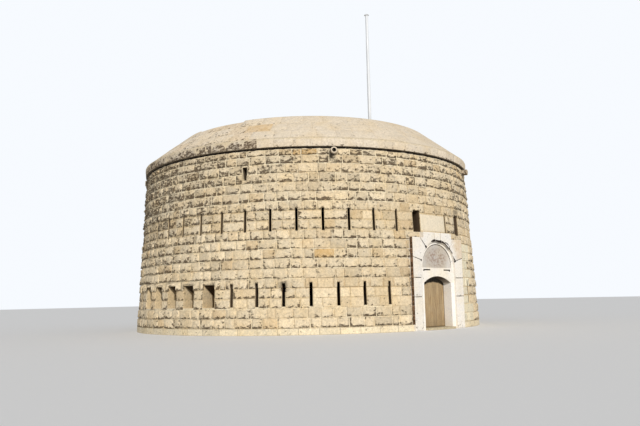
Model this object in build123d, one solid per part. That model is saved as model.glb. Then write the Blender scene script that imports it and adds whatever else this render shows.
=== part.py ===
from build123d import *
from math import asin, degrees
import os

# A round two-storey gun tower of coursed stone, in millimetres, +Z up.
# The door faces -Y. The origin is the middle of the foot of the wall.
# Angles are bearings in degrees: 0 is the door, and they grow towards +X.

# Drum
head_radius = 8965            # face of the wall under the cornice, behind the rough bosses
batter = 0.0523               # the wall leans in by this much for each unit of height
head_level = 8320             # underside of the cornice
footing_projection = 35       # the lowest course stands out, flush with the bosses over it
footing_height = 290
head_thickness = 1115         # the wall at its head, above the ledge that carries the roof
roof_ledge = 200
floor_ledge = 200
roof_seat_radius = head_radius - head_thickness
upper_room_radius = roof_seat_radius - roof_ledge
lower_room_radius = upper_room_radius - floor_ledge
quarter_half = 45             # degrees each way that a quarter of the wall spans
ground_floor_thickness = 100
upper_floor_level = 3300
upper_floor_thickness = 300
roof_thickness = 420
floor_joint = 10              # gap between an upper slab's rim and the wall round it
ground_floor_joint = 0.3

# Loopholes, two rows of equal slits, the lower row half a pitch off the upper one
loops_round = 49
loop_pitch = 360 / loops_round
loop_height = 1020
lower_sill = 1220
upper_sill = 4510
lower_loop_width = 140
upper_loop_width = 120
loop_throat = 250             # depth of the narrow outer part of a loophole
loop_room_width = 600         # width where a loophole opens into the room
widened_loop_width = 650      # five lower loopholes on the left are cut wide
widened_room_width = 720
widened_loops = range(-14, -9)
round_headed_loop = -7        # this one's throat was opened to a round-ended slot at the top
round_head_width = 240
round_head_height = 420
door_window_width = 460       # the two wide openings beside the door's head
window_splay = 200            # how much wider they are at the room
crowding = 1.3                # the two upper loopholes right of the door stand nearer to it
crowded_loops = (1, 2)
air_hole_bearing = -59.1      # one small opening high in the left wall
air_hole_width = 233
air_hole_sill = 6883
air_hole_height = 617
air_hole_room_width = 480

# Cornice and parapet
cornice_projection = 120
cornice_lean = 25             # its face leans out by this much up to the lip
cornice_weathering = 116      # the fall behind the lip, up to the foot of the slope
cornice_height = 380
cornice_rise = 80
crest_width = 136
parapet_thickness = 2065
crest_level = 10300
platform_height = 580         # over the underside of the cornice
cornice_foot_radius = head_radius + cornice_projection
cornice_lip_radius = cornice_foot_radius + cornice_lean
slope_foot_radius = cornice_lip_radius - cornice_weathering
parapet_inner_radius = head_radius - parapet_thickness
crest_radius = parapet_inner_radius + crest_width
cornice_lip_level = head_level + cornice_height
cornice_head_level = cornice_lip_level + cornice_rise
platform_level = head_level + platform_height
worn_crest_from = -94.0       # here the crest has lost its top course
worn_crest_to = -66.0
worn_crest_drop = 125

# Portal
portal_half_width = 1850
portal_shoulder_level = 4240
portal_crown_half_width = 1050
portal_projection = 385       # in front of the wall's face under the cornice
portal_front = head_radius + portal_projection
portal_depth = 555
portal_bay_half_width = 1265
panel_setback = 110           # the plain panel round the door lies this far behind
arch_springing = 2860
arch_joint_angles = (14.5, 46.5, 81)
jamb_joint_levels = (1520, 2390)
joint_width = 36
joint_depth = 45
arch_bed = 2                  # mortar between curved stones
field_radius = 1085           # sunk field in the head of the arch
field_depth = 30
chip_turn = 53.5              # a piece is broken off the arch's inner edge here
chip_length = 430
chip_depth = 62
slot_inner = 495
slot_outer = 1010
slot_level = 2760
slot_height = 60
slot_depth = 90

# Doorway and passage
door_half_width = 1010
door_springing = 2160
door_crown = 2465
passage_recess = 80           # the passage behind the leaves is this much wider on each side
passage_half_width = door_half_width + passage_recess
vault_springing = 2600
vault_rise = 290
sill_projection = 80
sill_front = portal_front + sill_projection

# Door leaves, opening inwards
leaf_thickness = 60
leaf_lap = 40                 # how far a leaf covers the stone behind the opening
leaf_head_lap = 60
leaf_seat_gap = 5
leaf_floor_gap = 12
meeting_half_gap = 7
ledge_height = 130
ledge_thickness = 38
ledge_inset = 45
ledge_levels = (260, 1120, 1900)
strap_levels = (560, 1660)
strap_height = 60
strap_thickness = 12
strap_reach = 820
pin_radius = 14
pin_play = 0.3
eye_radius = 25
eye_leaf_gap = 5
pintle_arm_height = 30
pintle_plate_height = 160
pintle_plate_width = 90
pintle_plate_thickness = 8

# Spouts under the cornice
broken_spout = -121.0         # this one has lost its end
spout_bearings = (broken_spout, -33.3, 27.9, 100.0, 172.0)
spout_level = 8110
spout_radius = 155
spout_bore_radius = 80
spout_reach = 310
broken_spout_reach = 170
spout_tail = 500
spout_bed = 2

# Flagpole
pole_bearing = -10.7
pole_setback = 450            # the pole stands this far inside the parapet
pole_distance = parapet_inner_radius - pole_setback
pole_foot_width = 620
pole_foot_height = 320
pole_radii = (80, 74, 68)
pole_section_heights = (3600, 1750, 1430)
pole_collar_height = 60
pole_collar_rim = 7
truck_radius = 125
truck_height = 105
truck_dome = 75

big = 3 * head_radius         # length of a cutter that has to pass right through


def wall_radius(level):
    return head_radius + batter * (head_level - level)


def sector(outline, start, end):
    """The outline, (radius, level) corners, swept round the axis from one bearing to another."""
    face = make_face(Plane.XZ * Polyline(*outline, close=True))
    swept = revolve(face, axis=Axis.Z, revolution_arc=end - start)
    return Rot(0, 0, start - 90) * swept


def place(bearing, distance, level):
    """Where a thing stands, its own +X pointing away from the axis."""
    return Rot(0, 0, bearing - 90) * Pos(distance, 0, level)


def block(x0, x1, y0, y1, z0, z1):
    size = (x1 - x0, y1 - y0, z1 - z0)
    return Pos((x0 + x1) / 2, (y0 + y1) / 2, (z0 + z1) / 2) * Box(*size)


def wall_outline(bottom, top):
    """Section of the wall between two levels, with the ledges that carry floor and roof."""
    floor_seat = upper_floor_level - upper_floor_thickness
    roof_seat = head_level - roof_thickness
    steps = ((floor_seat, lower_room_radius, upper_room_radius),
             (roof_seat, upper_room_radius, roof_seat_radius))
    inner = lower_room_radius
    for level, below, above in steps:
        if bottom >= level:
            inner = above
    corners = [(inner, bottom)]
    if bottom == 0 and top > footing_height:
        footing_radius = wall_radius(0) + footing_projection
        corners += [(footing_radius, 0), (footing_radius, footing_height),
                    (wall_radius(footing_height), footing_height)]
    else:
        corners.append((wall_radius(bottom), bottom))
    corners.append((wall_radius(top), top))
    inside = []
    for level, below, above in steps:
        if bottom < level < top:
            inside += [(below, level), (above, level)]
            inner = above
    corners.append((inner, top))
    return corners + inside[::-1]


def splayed_opening(bearing, sill, height, width, room_width, room_radius):
    """Cutter for an opening with a narrow throat outside that widens towards the room."""
    face_distance = wall_radius(sill)
    throat_end = face_distance - loop_throat
    run = throat_end - room_radius
    past = room_radius / 2
    end_half = width / 2 + (room_width - width) / 2 * (run + past) / run
    plan = [(face_distance * 1.2, -width / 2), (face_distance * 1.2, width / 2),
            (throat_end, width / 2), (throat_end - run - past, end_half),
            (throat_end - run - past, -end_half), (throat_end, -width / 2)]
    shape = extrude(make_face(Polyline(*plan, close=True)), height)
    return Rot(0, 0, bearing - 90) * Pos(0, 0, sill) * shape


def upper_loops():
    """Bearing and width of each upper loophole; the one over the door is walled up."""
    for number in range(-(loops_round // 2), loops_round // 2 + 1):
        if number == 0:
            continue
        nearer = crowding if number in crowded_loops else 0
        wide = number in (-1, 2)
        yield number * loop_pitch - nearer, door_window_width if wide else upper_loop_width


def lower_loops():
    """Bearing, width and room width of each lower loophole clear of the portal."""
    clear = degrees(asin(portal_half_width / wall_radius(lower_sill)))
    for number in range(-(loops_round // 2) - 1, loops_round // 2):
        bearing = (number + 0.5) * loop_pitch
        if abs(bearing) < clear + loop_pitch / 4:
            continue
        wide = number in widened_loops
        width = widened_loop_width if wide else lower_loop_width
        yield bearing, width, widened_room_width if wide else loop_room_width


def round_head():
    """Cutter for the round-ended slot at the top of one loophole's throat."""
    bearing = (round_headed_loop + 0.5) * loop_pitch
    slot = extrude(SlotOverall(round_head_height, round_head_width), 2 * loop_throat)
    middle = lower_sill + loop_height - round_head_height / 2
    return place(bearing, wall_radius(lower_sill) - loop_throat, middle) * Rot(0, 90, 0) * slot


def portal_envelope():
    """The whole space that the portal and its passage take out of the wall."""
    shoulders = block(-portal_half_width, portal_half_width, -big, 0, 0, portal_shoulder_level)
    crown = block(-portal_crown_half_width, portal_crown_half_width, -big, 0,
                  portal_shoulder_level, upper_sill)
    return shoulders + crown


quarters = {"front": 0, "right": 90, "back": 180, "left": 270}
nodes = {}


def add_wall(name, bottom, top, cutters=()):
    """One band of the wall in four quarters; a front quarter that the portal cuts makes two."""
    outline = wall_outline(bottom, top)
    for side, middle in quarters.items():
        piece = sector(outline, middle - quarter_half, middle + quarter_half)
        for cutter in cutters:
            piece = piece - cutter
        if side == "front" and bottom < portal_shoulder_level:
            piece = piece - portal_envelope()
            halves = piece.solids().sort_by(Axis.X)
            nodes[f"{name}_front_left"] = halves[0]
            nodes[f"{name}_front_right"] = halves[-1]
        else:
            nodes[f"{name}_{side}"] = piece


def add_piers(name, sill, openings):
    """The stone piers that stand between the loopholes of one row, each a solid of its own."""
    band = sector(wall_outline(sill, sill + loop_height), 0, 360)
    if sill < portal_shoulder_level:
        band = band - portal_envelope()
    for opening in openings:
        band = band - opening
    nodes[name] = Compound(children=list(band.solids()))


def air_hole():
    return splayed_opening(air_hole_bearing, air_hole_sill, air_hole_height, air_hole_width,
                           air_hole_room_width, upper_room_radius)


def spout_pocket(bearing):
    length = spout_tail + spout_reach
    pocket = Cylinder(spout_radius + spout_bed, length, rotation=(0, 90, 0))
    inner_end = wall_radius(spout_level) - spout_tail
    return place(bearing, inner_end + length / 2, spout_level) * pocket


def spout(bearing):
    length = spout_tail + (broken_spout_reach if bearing == broken_spout else spout_reach)
    tube = Cylinder(spout_radius, length, rotation=(0, 90, 0))
    tube = tube - Cylinder(spout_bore_radius, 2 * length, rotation=(0, 90, 0))
    inner_end = wall_radius(spout_level) - spout_tail
    return place(bearing, inner_end + length / 2, spout_level) * tube


def add_drum():
    lower_head = lower_sill + loop_height
    upper_head = upper_sill + loop_height
    lower_openings = [splayed_opening(bearing, lower_sill, loop_height, width, room_width,
                                      lower_room_radius)
                      for bearing, width, room_width in lower_loops()]
    upper_openings = [splayed_opening(bearing, upper_sill, loop_height, width,
                                      max(loop_room_width, width + window_splay), upper_room_radius)
                      for bearing, width in upper_loops()]
    add_wall("lower_wall", 0, lower_sill)
    add_piers("lower_loophole_piers", lower_sill, lower_openings + [round_head()])
    add_wall("middle_wall", lower_head, upper_sill)
    add_piers("upper_loophole_piers", upper_sill, upper_openings)
    cutters = [air_hole()] + [spout_pocket(bearing) for bearing in spout_bearings]
    add_wall("upper_wall", upper_head, head_level, cutters)
    nodes["spouts"] = Compound(children=[spout(bearing) for bearing in spout_bearings])


def add_floors():
    floor_rim = upper_room_radius - floor_joint
    roof_rim = roof_seat_radius - floor_joint
    ground = Cylinder(lower_room_radius - ground_floor_joint, ground_floor_thickness)
    nodes["ground_floor"] = Pos(0, 0, ground_floor_thickness / 2) * ground
    middle = upper_floor_level - upper_floor_thickness / 2
    nodes["upper_floor"] = Pos(0, 0, middle) * Cylinder(floor_rim, upper_floor_thickness)
    middle = head_level - roof_thickness / 2
    nodes["roof_slab"] = Pos(0, 0, middle) * Cylinder(roof_rim, roof_thickness)
    depth = platform_level - head_level
    platform = Cylinder(parapet_inner_radius - floor_joint, depth)
    nodes["gun_platform"] = Pos(0, 0, platform_level - depth / 2) * platform


def add_parapet():
    """The band course, its face leaning out a little to a lip, and the sloping parapet on it."""
    band = [(parapet_inner_radius, head_level), (cornice_foot_radius, head_level),
            (cornice_lip_radius, cornice_lip_level), (slope_foot_radius, cornice_head_level),
            (parapet_inner_radius, cornice_head_level)]
    outline = [(parapet_inner_radius, cornice_head_level), (slope_foot_radius, cornice_head_level),
               (crest_radius, crest_level), (parapet_inner_radius, crest_level)]
    lost = sector([(crest_radius / 2, crest_level - worn_crest_drop),
                   (slope_foot_radius, crest_level - worn_crest_drop),
                   (slope_foot_radius, crest_level + worn_crest_drop),
                   (crest_radius / 2, crest_level + worn_crest_drop)],
                  worn_crest_from, worn_crest_to)
    for side, middle in quarters.items():
        start, end = middle - quarter_half, middle + quarter_half
        nodes[f"cornice_{side}"] = sector(band, start, end)
        piece = sector(outline, start, end)
        nodes[f"parapet_{side}"] = piece - lost if side == "left" else piece


def portal_jamb(side):
    """One jamb of channelled blocks; side is -1 for the left one and 1 for the right."""
    inner, outer = sorted((side * portal_bay_half_width, side * portal_half_width))
    back = portal_front - portal_depth
    jamb = block(inner, outer, -portal_front, -back, 0, arch_springing)
    for level in jamb_joint_levels:
        low, high = level - joint_width / 2, level + joint_width / 2
        jamb = jamb - block(inner - 1, outer + 1, -portal_front - 1,
                            -portal_front + joint_depth, low, high)
    return jamb


def portal_arch():
    """The arch ring: long radial blocks cut square at the shoulders, with sunk joints."""
    back = portal_front - portal_depth
    ring = block(-portal_half_width, portal_half_width, -portal_front, -back,
                 arch_springing, portal_shoulder_level)
    ring = ring + block(-portal_crown_half_width, portal_crown_half_width, -portal_front, -back,
                        portal_shoulder_level, upper_sill)
    middle = Pos(0, 0, arch_springing)
    ring = ring - middle * Cylinder(portal_bay_half_width, big, rotation=(90, 0, 0))
    for angle in arch_joint_angles:
        for turn in (angle, 180 - angle):
            groove = block(0, big, -portal_front - 1, -portal_front + joint_depth,
                           -joint_width / 2, joint_width / 2)
            ring = ring - middle * Rot(0, -turn, 0) * groove
    chip = Rot(0, 0, 45) * Box(chip_depth, chip_depth, chip_length)
    edge = Pos(portal_bay_half_width, -portal_front, 0)
    return ring - middle * Rot(0, -chip_turn, 0) * edge * chip


def arch_cutter(half_width, springing, crown, allowance=0):
    """A long solid under a segmental arch, to cut an opening with an arched head."""
    rise = crown - springing
    radius = (half_width ** 2 + rise ** 2) / (2 * rise)
    centre = crown - radius
    tube = Pos(0, 0, centre) * Cylinder(radius + allowance, big, rotation=(90, 0, 0))
    side = half_width + allowance
    return tube & block(-side, side, -big, big, 0, crown + 2 * allowance + 1)


def portal_panel():
    """Plain recessed stonework round the door: two cheeks and the head over them."""
    front = portal_front - panel_setback
    back = portal_front - portal_depth
    left = block(-portal_bay_half_width, -door_half_width, -front, -back, 0, door_springing)
    right = block(door_half_width, portal_bay_half_width, -front, -back, 0, door_springing)
    head = block(-portal_bay_half_width, portal_bay_half_width, -front, -back,
                 door_springing, arch_springing)
    bow = Cylinder(portal_bay_half_width - arch_bed, portal_depth - panel_setback,
                   rotation=(90, 0, 0))
    bow = Pos(0, -(front + back) / 2, arch_springing) * bow
    above = block(-portal_half_width, portal_half_width, -big, 0, arch_springing, 2 * arch_springing)
    head = head + (bow & above)
    head = head - arch_cutter(door_half_width, door_springing, door_crown)
    field = Cylinder(field_radius, 2 * field_depth, rotation=(90, 0, 0))
    head = head - ((Pos(0, -front, arch_springing) * field) & above)
    for side in (-1, 1):
        inner, outer = sorted((side * slot_inner, side * slot_outer))
        head = head - block(inner, outer, -front - 1, -front + slot_depth,
                            slot_level - slot_height / 2, slot_level + slot_height / 2)
    return left, right, head


def add_portal():
    nodes["portal_jamb_left"] = portal_jamb(-1)
    nodes["portal_jamb_right"] = portal_jamb(1)
    nodes["portal_arch"] = portal_arch()
    left, right, head = portal_panel()
    nodes["door_cheek_left"] = left
    nodes["door_cheek_right"] = right
    nodes["door_head"] = head


def add_passage():
    """The wall behind the portal: two sides and a vault over the way in."""
    back = portal_front - portal_depth
    core = sector(wall_outline(0, upper_sill), -quarter_half, quarter_half)
    behind = block(-big, big, -back, 0, 0, upper_sill)
    core = core & portal_envelope() & behind
    for name, x0, x1 in (("passage_wall_left", -portal_half_width, -passage_half_width),
                         ("passage_wall_right", passage_half_width, portal_half_width)):
        nodes[name] = core & block(x0, x1, -big, 0, 0, vault_springing)
    vault = core & block(-big, big, -big, 0, vault_springing, upper_sill)
    opening = arch_cutter(passage_half_width, vault_springing, vault_springing + vault_rise)
    nodes["passage_vault"] = vault - opening
    front_stone = block(-door_half_width, door_half_width, -sill_front, -back,
                        0, ground_floor_thickness)
    paving = sector(wall_outline(0, ground_floor_thickness), -quarter_half, quarter_half)
    paving = paving & behind
    paving = paving & block(-passage_half_width, passage_half_width, -big, 0,
                            0, ground_floor_thickness)
    nodes["threshold"] = front_stone + paving


hinge_x = door_half_width + leaf_lap + 10
leaf_front = portal_front - portal_depth - leaf_seat_gap
leaf_back = leaf_front - leaf_thickness
hinge_y = leaf_back - eye_leaf_gap - eye_radius


def right_leaf():
    """The right-hand leaf, shut: boards with an arched head, and three ledges behind."""
    outer = door_half_width + leaf_lap
    bottom = ground_floor_thickness + leaf_floor_gap
    boards = arch_cutter(door_half_width, door_springing, door_crown, leaf_head_lap)
    boards = boards & block(meeting_half_gap, outer, -leaf_front, -leaf_back, bottom, big)
    ledge_end = outer - ledge_inset
    for level in ledge_levels:
        boards = boards + block(meeting_half_gap + ledge_inset, ledge_end, -leaf_back,
                                -leaf_back + ledge_thickness, level, level + ledge_height)
    return boards


def right_straps():
    """Iron straps on the back of the right-hand leaf, each ending in an eye round its pin."""
    straps = []
    for level in strap_levels:
        bar = block(hinge_x - strap_reach, hinge_x, -leaf_back, -leaf_back + strap_thickness,
                    level, level + strap_height)
        eye_place = Pos(hinge_x, -hinge_y, level + strap_height / 2)
        eye = eye_place * Cylinder(eye_radius, strap_height)
        bore = eye_place * Cylinder(pin_radius + pin_play, 2 * strap_height)
        straps.append(bar + eye - bore)
    return straps


def right_pintles():
    """Iron pins on arms, bolted to the right-hand wall of the passage."""
    pintles = []
    for level in strap_levels:
        top = level - pin_play
        arm = block(hinge_x - pin_radius, passage_half_width, -hinge_y - pin_radius,
                    -hinge_y + pin_radius, top - pintle_arm_height, top)
        plate = block(passage_half_width - pintle_plate_thickness, passage_half_width,
                      -hinge_y - pintle_plate_width / 2, -hinge_y + pintle_plate_width / 2,
                      top - pintle_plate_height, top)
        pin_height = strap_height + pintle_arm_height + pin_radius
        pin = Pos(hinge_x, -hinge_y, top - pintle_arm_height + pin_height / 2)
        pintles.append(arm + plate + pin * Cylinder(pin_radius, pin_height))
    return pintles


def mirrored(shape):
    return mirror(shape, about=Plane.YZ)


def add_doors():
    leaf, straps, pintles = right_leaf(), right_straps(), right_pintles()
    nodes["door_leaf_right"] = leaf
    nodes["door_leaf_left"] = mirrored(leaf)
    nodes["door_straps_right"] = Compound(children=straps)
    nodes["door_straps_left"] = Compound(children=[mirrored(strap) for strap in straps])
    both = pintles + [mirrored(pintle) for pintle in pintles]
    nodes["door_pintles"] = Compound(children=both)


def add_flagpole():
    foot = Box(pole_foot_width, pole_foot_width, pole_foot_height)
    foot_top = platform_level + pole_foot_height
    at_foot = place(pole_bearing, pole_distance, 0)
    nodes["flagpole_foot"] = at_foot * Pos(0, 0, platform_level + pole_foot_height / 2) * foot
    level = foot_top
    pole = None
    for radius, height in zip(pole_radii, pole_section_heights):
        tube = Pos(0, 0, level + height / 2) * Cylinder(radius, height)
        collar = Pos(0, 0, level + pole_collar_height / 2)
        tube = tube + collar * Cylinder(radius + pole_collar_rim, pole_collar_height)
        pole = tube if pole is None else pole + tube
        level += height
    nodes["flagpole"] = at_foot * pole
    foot_height = truck_height - truck_dome
    sphere_radius = (truck_radius ** 2 + truck_dome ** 2) / (2 * truck_dome)
    dome = Pos(0, 0, truck_height - sphere_radius) * Sphere(sphere_radius)
    dome = dome & Pos(0, 0, foot_height + big / 2) * Box(big, big, big)
    under = Pos(0, 0, foot_height / 2) * Cone(0.6 * truck_radius, truck_radius, foot_height)
    cap = dome + under
    nodes["flagpole_truck"] = at_foot * Pos(0, 0, level) * cap


add_drum()
add_floors()
add_parapet()
add_portal()
add_passage()
add_doors()
add_flagpole()

os.makedirs("parts", exist_ok=True)
for name, shape in nodes.items():
    export_step(shape, f"parts/{name}.step")
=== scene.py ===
# Stone facings, boards, paint and light for the round gun tower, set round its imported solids.
# Metres, +Z up. The door faces -Y. A bearing is an angle from the door, growing towards +X.
import math

import bpy
import numpy as np
from mathutils import Matrix, Vector


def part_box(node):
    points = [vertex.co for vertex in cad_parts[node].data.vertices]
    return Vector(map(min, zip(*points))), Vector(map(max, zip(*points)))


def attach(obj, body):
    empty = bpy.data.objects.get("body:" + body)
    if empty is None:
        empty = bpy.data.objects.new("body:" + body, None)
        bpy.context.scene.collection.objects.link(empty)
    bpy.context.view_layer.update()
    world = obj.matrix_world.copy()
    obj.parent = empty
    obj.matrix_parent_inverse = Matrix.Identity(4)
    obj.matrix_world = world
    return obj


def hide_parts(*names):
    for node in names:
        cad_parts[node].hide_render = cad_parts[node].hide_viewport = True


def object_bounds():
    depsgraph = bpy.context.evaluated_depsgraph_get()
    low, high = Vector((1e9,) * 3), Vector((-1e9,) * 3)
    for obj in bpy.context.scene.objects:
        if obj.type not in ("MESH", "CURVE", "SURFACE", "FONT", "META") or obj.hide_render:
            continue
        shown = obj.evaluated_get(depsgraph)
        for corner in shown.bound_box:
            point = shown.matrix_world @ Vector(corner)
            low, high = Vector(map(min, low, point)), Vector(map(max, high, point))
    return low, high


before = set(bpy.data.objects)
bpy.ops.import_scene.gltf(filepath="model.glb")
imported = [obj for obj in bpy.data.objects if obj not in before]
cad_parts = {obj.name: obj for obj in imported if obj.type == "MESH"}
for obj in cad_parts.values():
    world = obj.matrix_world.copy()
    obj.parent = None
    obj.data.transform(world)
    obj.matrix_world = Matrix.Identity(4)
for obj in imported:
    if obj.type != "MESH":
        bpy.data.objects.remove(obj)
cadLow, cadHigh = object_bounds()
chance = np.random.default_rng(23)
print("frame loaded:", len(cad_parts), "solids")

# what the openings of the wall are, as the solids have them
tower = {
    "loopsRound": 49,            # loopholes in a full row
    "upperHalf": 0.06,           # half the width of an upper loophole
    "lowerHalf": 0.07,
    "widenedHalf": 0.325,        # five lower ones on the left are cut wide
    "widened": range(-14, -9),
    "windowHalf": 0.23,          # two wide ones beside the head of the portal
    "windows": (-1, 2),
    "crowding": 1.3,             # degrees; the first two right of the door stand nearer to it
    "airHole": (-59.1, 0.117, 6.883, 7.5),  # bearing, half width, sill, head
    "keyhole": (-7, 1.0, 1.86),  # a lower loophole with a round head: number, reach in degrees, foot
    "wornCrest": (-94.0, -66.0),  # here the crest has lost its top course
}
pitch = 2 * math.pi / tower["loopsRound"]
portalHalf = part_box("portal_arch")[1].x
portalFront = -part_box("portal_arch")[0].y
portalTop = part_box("portal_arch")[1].z
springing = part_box("portal_arch")[0].z
shoulderLevel = 4.24             # of the portal's square shoulders
crownHalf = 1.05                 # half the width of the portal above them
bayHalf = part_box("door_cheek_right")[1].x
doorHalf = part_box("door_cheek_right")[0].x
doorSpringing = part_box("door_cheek_right")[1].z
leafFront = -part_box("door_leaf_right")[0].y
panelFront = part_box("door_head")[0].y
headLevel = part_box("upper_wall_front")[1].z
lowerSill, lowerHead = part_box("lower_loophole_piers")[0].z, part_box("lower_loophole_piers")[1].z
upperSill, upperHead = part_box("upper_loophole_piers")[0].z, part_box("upper_loophole_piers")[1].z
batter = (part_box("middle_wall_right")[1].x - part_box("upper_wall_right")[1].x) / (upperHead - lowerHead)
footingCourse = 0.2893           # height of the footing's course, as the solids have it


def wallRadius(level):
    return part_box("middle_wall_right")[1].x + batter * (lowerHead - level)


def wrapped(degrees):
    # the same bearing between -180 and 180
    return (degrees + 180) % 360 - 180


def near(bearing, middle, spread):
    # a bell curve in degrees, round the circle
    return np.exp(-(wrapped(bearing - middle) / spread) ** 2)


def around(x, halfX, y, halfY):
    # a cell's left, right, low and high from its middle and half sizes
    return (x - halfX, x + halfX, y - halfY, y + halfY)


# Surfaces: each takes two parameters and a height off the surface, all arrays.

def onRound(radius, bearing, level):
    # radius times the bearing's sine is X, minus radius times its cosine is Y
    return np.stack((radius * np.sin(bearing), -radius * np.cos(bearing), level + 0 * radius), -1)


def wallSurface(bearing, level, proud):
    # a leaning cone: the radius falls with the level, and never passes the foot of the wall
    radius = np.minimum(wallRadius(0) - batter * level + proud, cadHigh.x - 0.002)
    return onRound(radius, bearing, level)


def insideFace(bearing, level, proud):
    # the parapet's upright inner face: the radius falls as the stones stand out
    return onRound(cornice["inner"] - proud, bearing, level)


def pavedSurface(height):
    # a level floor: bearing and radius, with the height measured upwards
    return lambda bearing, radius, proud: onRound(radius, bearing, height + proud)


def profileSurface(points):
    # a (radius, level) outline swept round the axis; the second parameter runs along it in metres
    radii, levels = np.array(points).T
    along = np.concatenate(([0], np.cumsum(np.hypot(np.diff(radii), np.diff(levels)))))

    def surface(bearing, distance, proud):
        before, after = distance - 0.02, distance + 0.02
        outward = np.interp(after, along, levels) - np.interp(before, along, levels)
        upward = np.interp(before, along, radii) - np.interp(after, along, radii)
        length = np.hypot(outward, upward) + 1e-9
        return onRound(np.interp(distance, along, radii) + proud * outward / length, bearing,
                       np.interp(distance, along, levels) + proud * upward / length)

    return surface, along[-1]


def frontSurface(front, side=1):
    # a flat face that looks towards -Y; side -1 mirrors it to the left of the door
    def surface(across, level, proud):
        return np.stack((side * across, -front - proud + 0 * across, level + 0 * across), -1)
    return surface


def archSurface(front, side=1):
    # the same face in turns and distances round the middle of the arch
    flat = frontSurface(front, side)

    def surface(turn, distance, proud):
        return flat(distance * np.cos(turn), springing + distance * np.sin(turn), proud)
    return surface


def springerSurface(front, side=1):
    # the stone at the arch's foot: its inner edge is upright and then follows the ring
    def surface(across, level, proud):
        rise = np.clip(level - springing, 0, bayHalf * 0.95)
        inner = np.sqrt(bayHalf ** 2 - rise ** 2)
        return frontSurface(front, side)(inner + (portalHalf - inner) * across, level, proud)
    return surface


def flankSurface(side):
    # the portal's side face, which looks along X: across runs from the wall out to the front
    def surface(across, level, proud):
        return np.stack((side * (portalHalf + proud) + 0 * across, -across, level + 0 * across), -1)
    return surface


def meshFromArrays(name, points, quads, rims, tints=None):
    # points (n, 3), four-cornered faces (m, 4) and many-cornered ones (k, j), as whole arrays
    mesh = bpy.data.meshes.new(name)
    corners = np.concatenate((quads.ravel(), rims.ravel())).astype(np.int32)
    sizes = np.concatenate((np.full(len(quads), 4), np.full(len(rims), rims.shape[1])))
    mesh.vertices.add(len(points))
    mesh.vertices.foreach_set("co", points.astype(np.float32).ravel())
    mesh.loops.add(len(corners))
    mesh.loops.foreach_set("vertex_index", corners)
    mesh.polygons.add(len(sizes))
    starts = np.concatenate(([0], np.cumsum(sizes)[:-1])).astype(np.int32)
    mesh.polygons.foreach_set("loop_start", starts)
    mesh.update(calc_edges=True)
    mesh.polygons.foreach_set("use_smooth", np.arange(len(sizes)) < len(quads))
    if tints is not None:
        layer = mesh.attributes.new("stoneTint", "FLOAT_COLOR", "POINT")
        layer.data.foreach_set("color", tints.astype(np.float32).ravel())
    mesh.validate()
    return mesh


def addPiece(mesh, finish, body):
    piece = bpy.data.objects.new(mesh.name, mesh)
    bpy.context.scene.collection.objects.link(piece)
    mesh.materials.append(finishes[finish])
    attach(piece, body)
    return piece


def cellArrays(stones, columns, scale, margin=0.045):
    # a list of (left, right, low, high) as arrays; a fifth entry holds a stone's own columns. The
    # first and last column of the others lie close to the stone's edge.
    left, right, low, high = (np.array([stone[place] for stone in stones]) for place in range(4))
    edge = np.minimum(margin / ((right - left) * scale), 0.14)[:, None]
    zero = np.zeros((len(stones), 1))
    inner = edge + (1 - 2 * edge) * np.linspace(0, 1, columns - 2)[None, :]
    across = np.concatenate((zero, inner, zero + 1), axis=1)
    low, high = (np.repeat(level[:, None], columns, axis=1) for level in (low, high))
    for place, stone in enumerate(stones):
        if len(stone) > 4:
            across[place], low[place], high[place] = stone[4]
    return {"left": left, "right": right, "low": low, "high": high, "across": across,
            "tint": np.ones((len(stones), 4)), "wear": np.ones(len(stones)),
            "pointed": np.zeros(len(stones)), "calm": np.ones(len(stones))}


def setTint(cells, bright, eroded, ochre=0.0, wash=0.0):
    # red: brightness, green: erosion, blue: ochre stain, alpha: limewash; layStones later adds painted shade
    # to red and green
    parts = [part + np.zeros(len(cells["left"])) for part in (bright, eroded, ochre, wash)]
    cells["tint"] = np.stack(parts, -1)
    return cells


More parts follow.
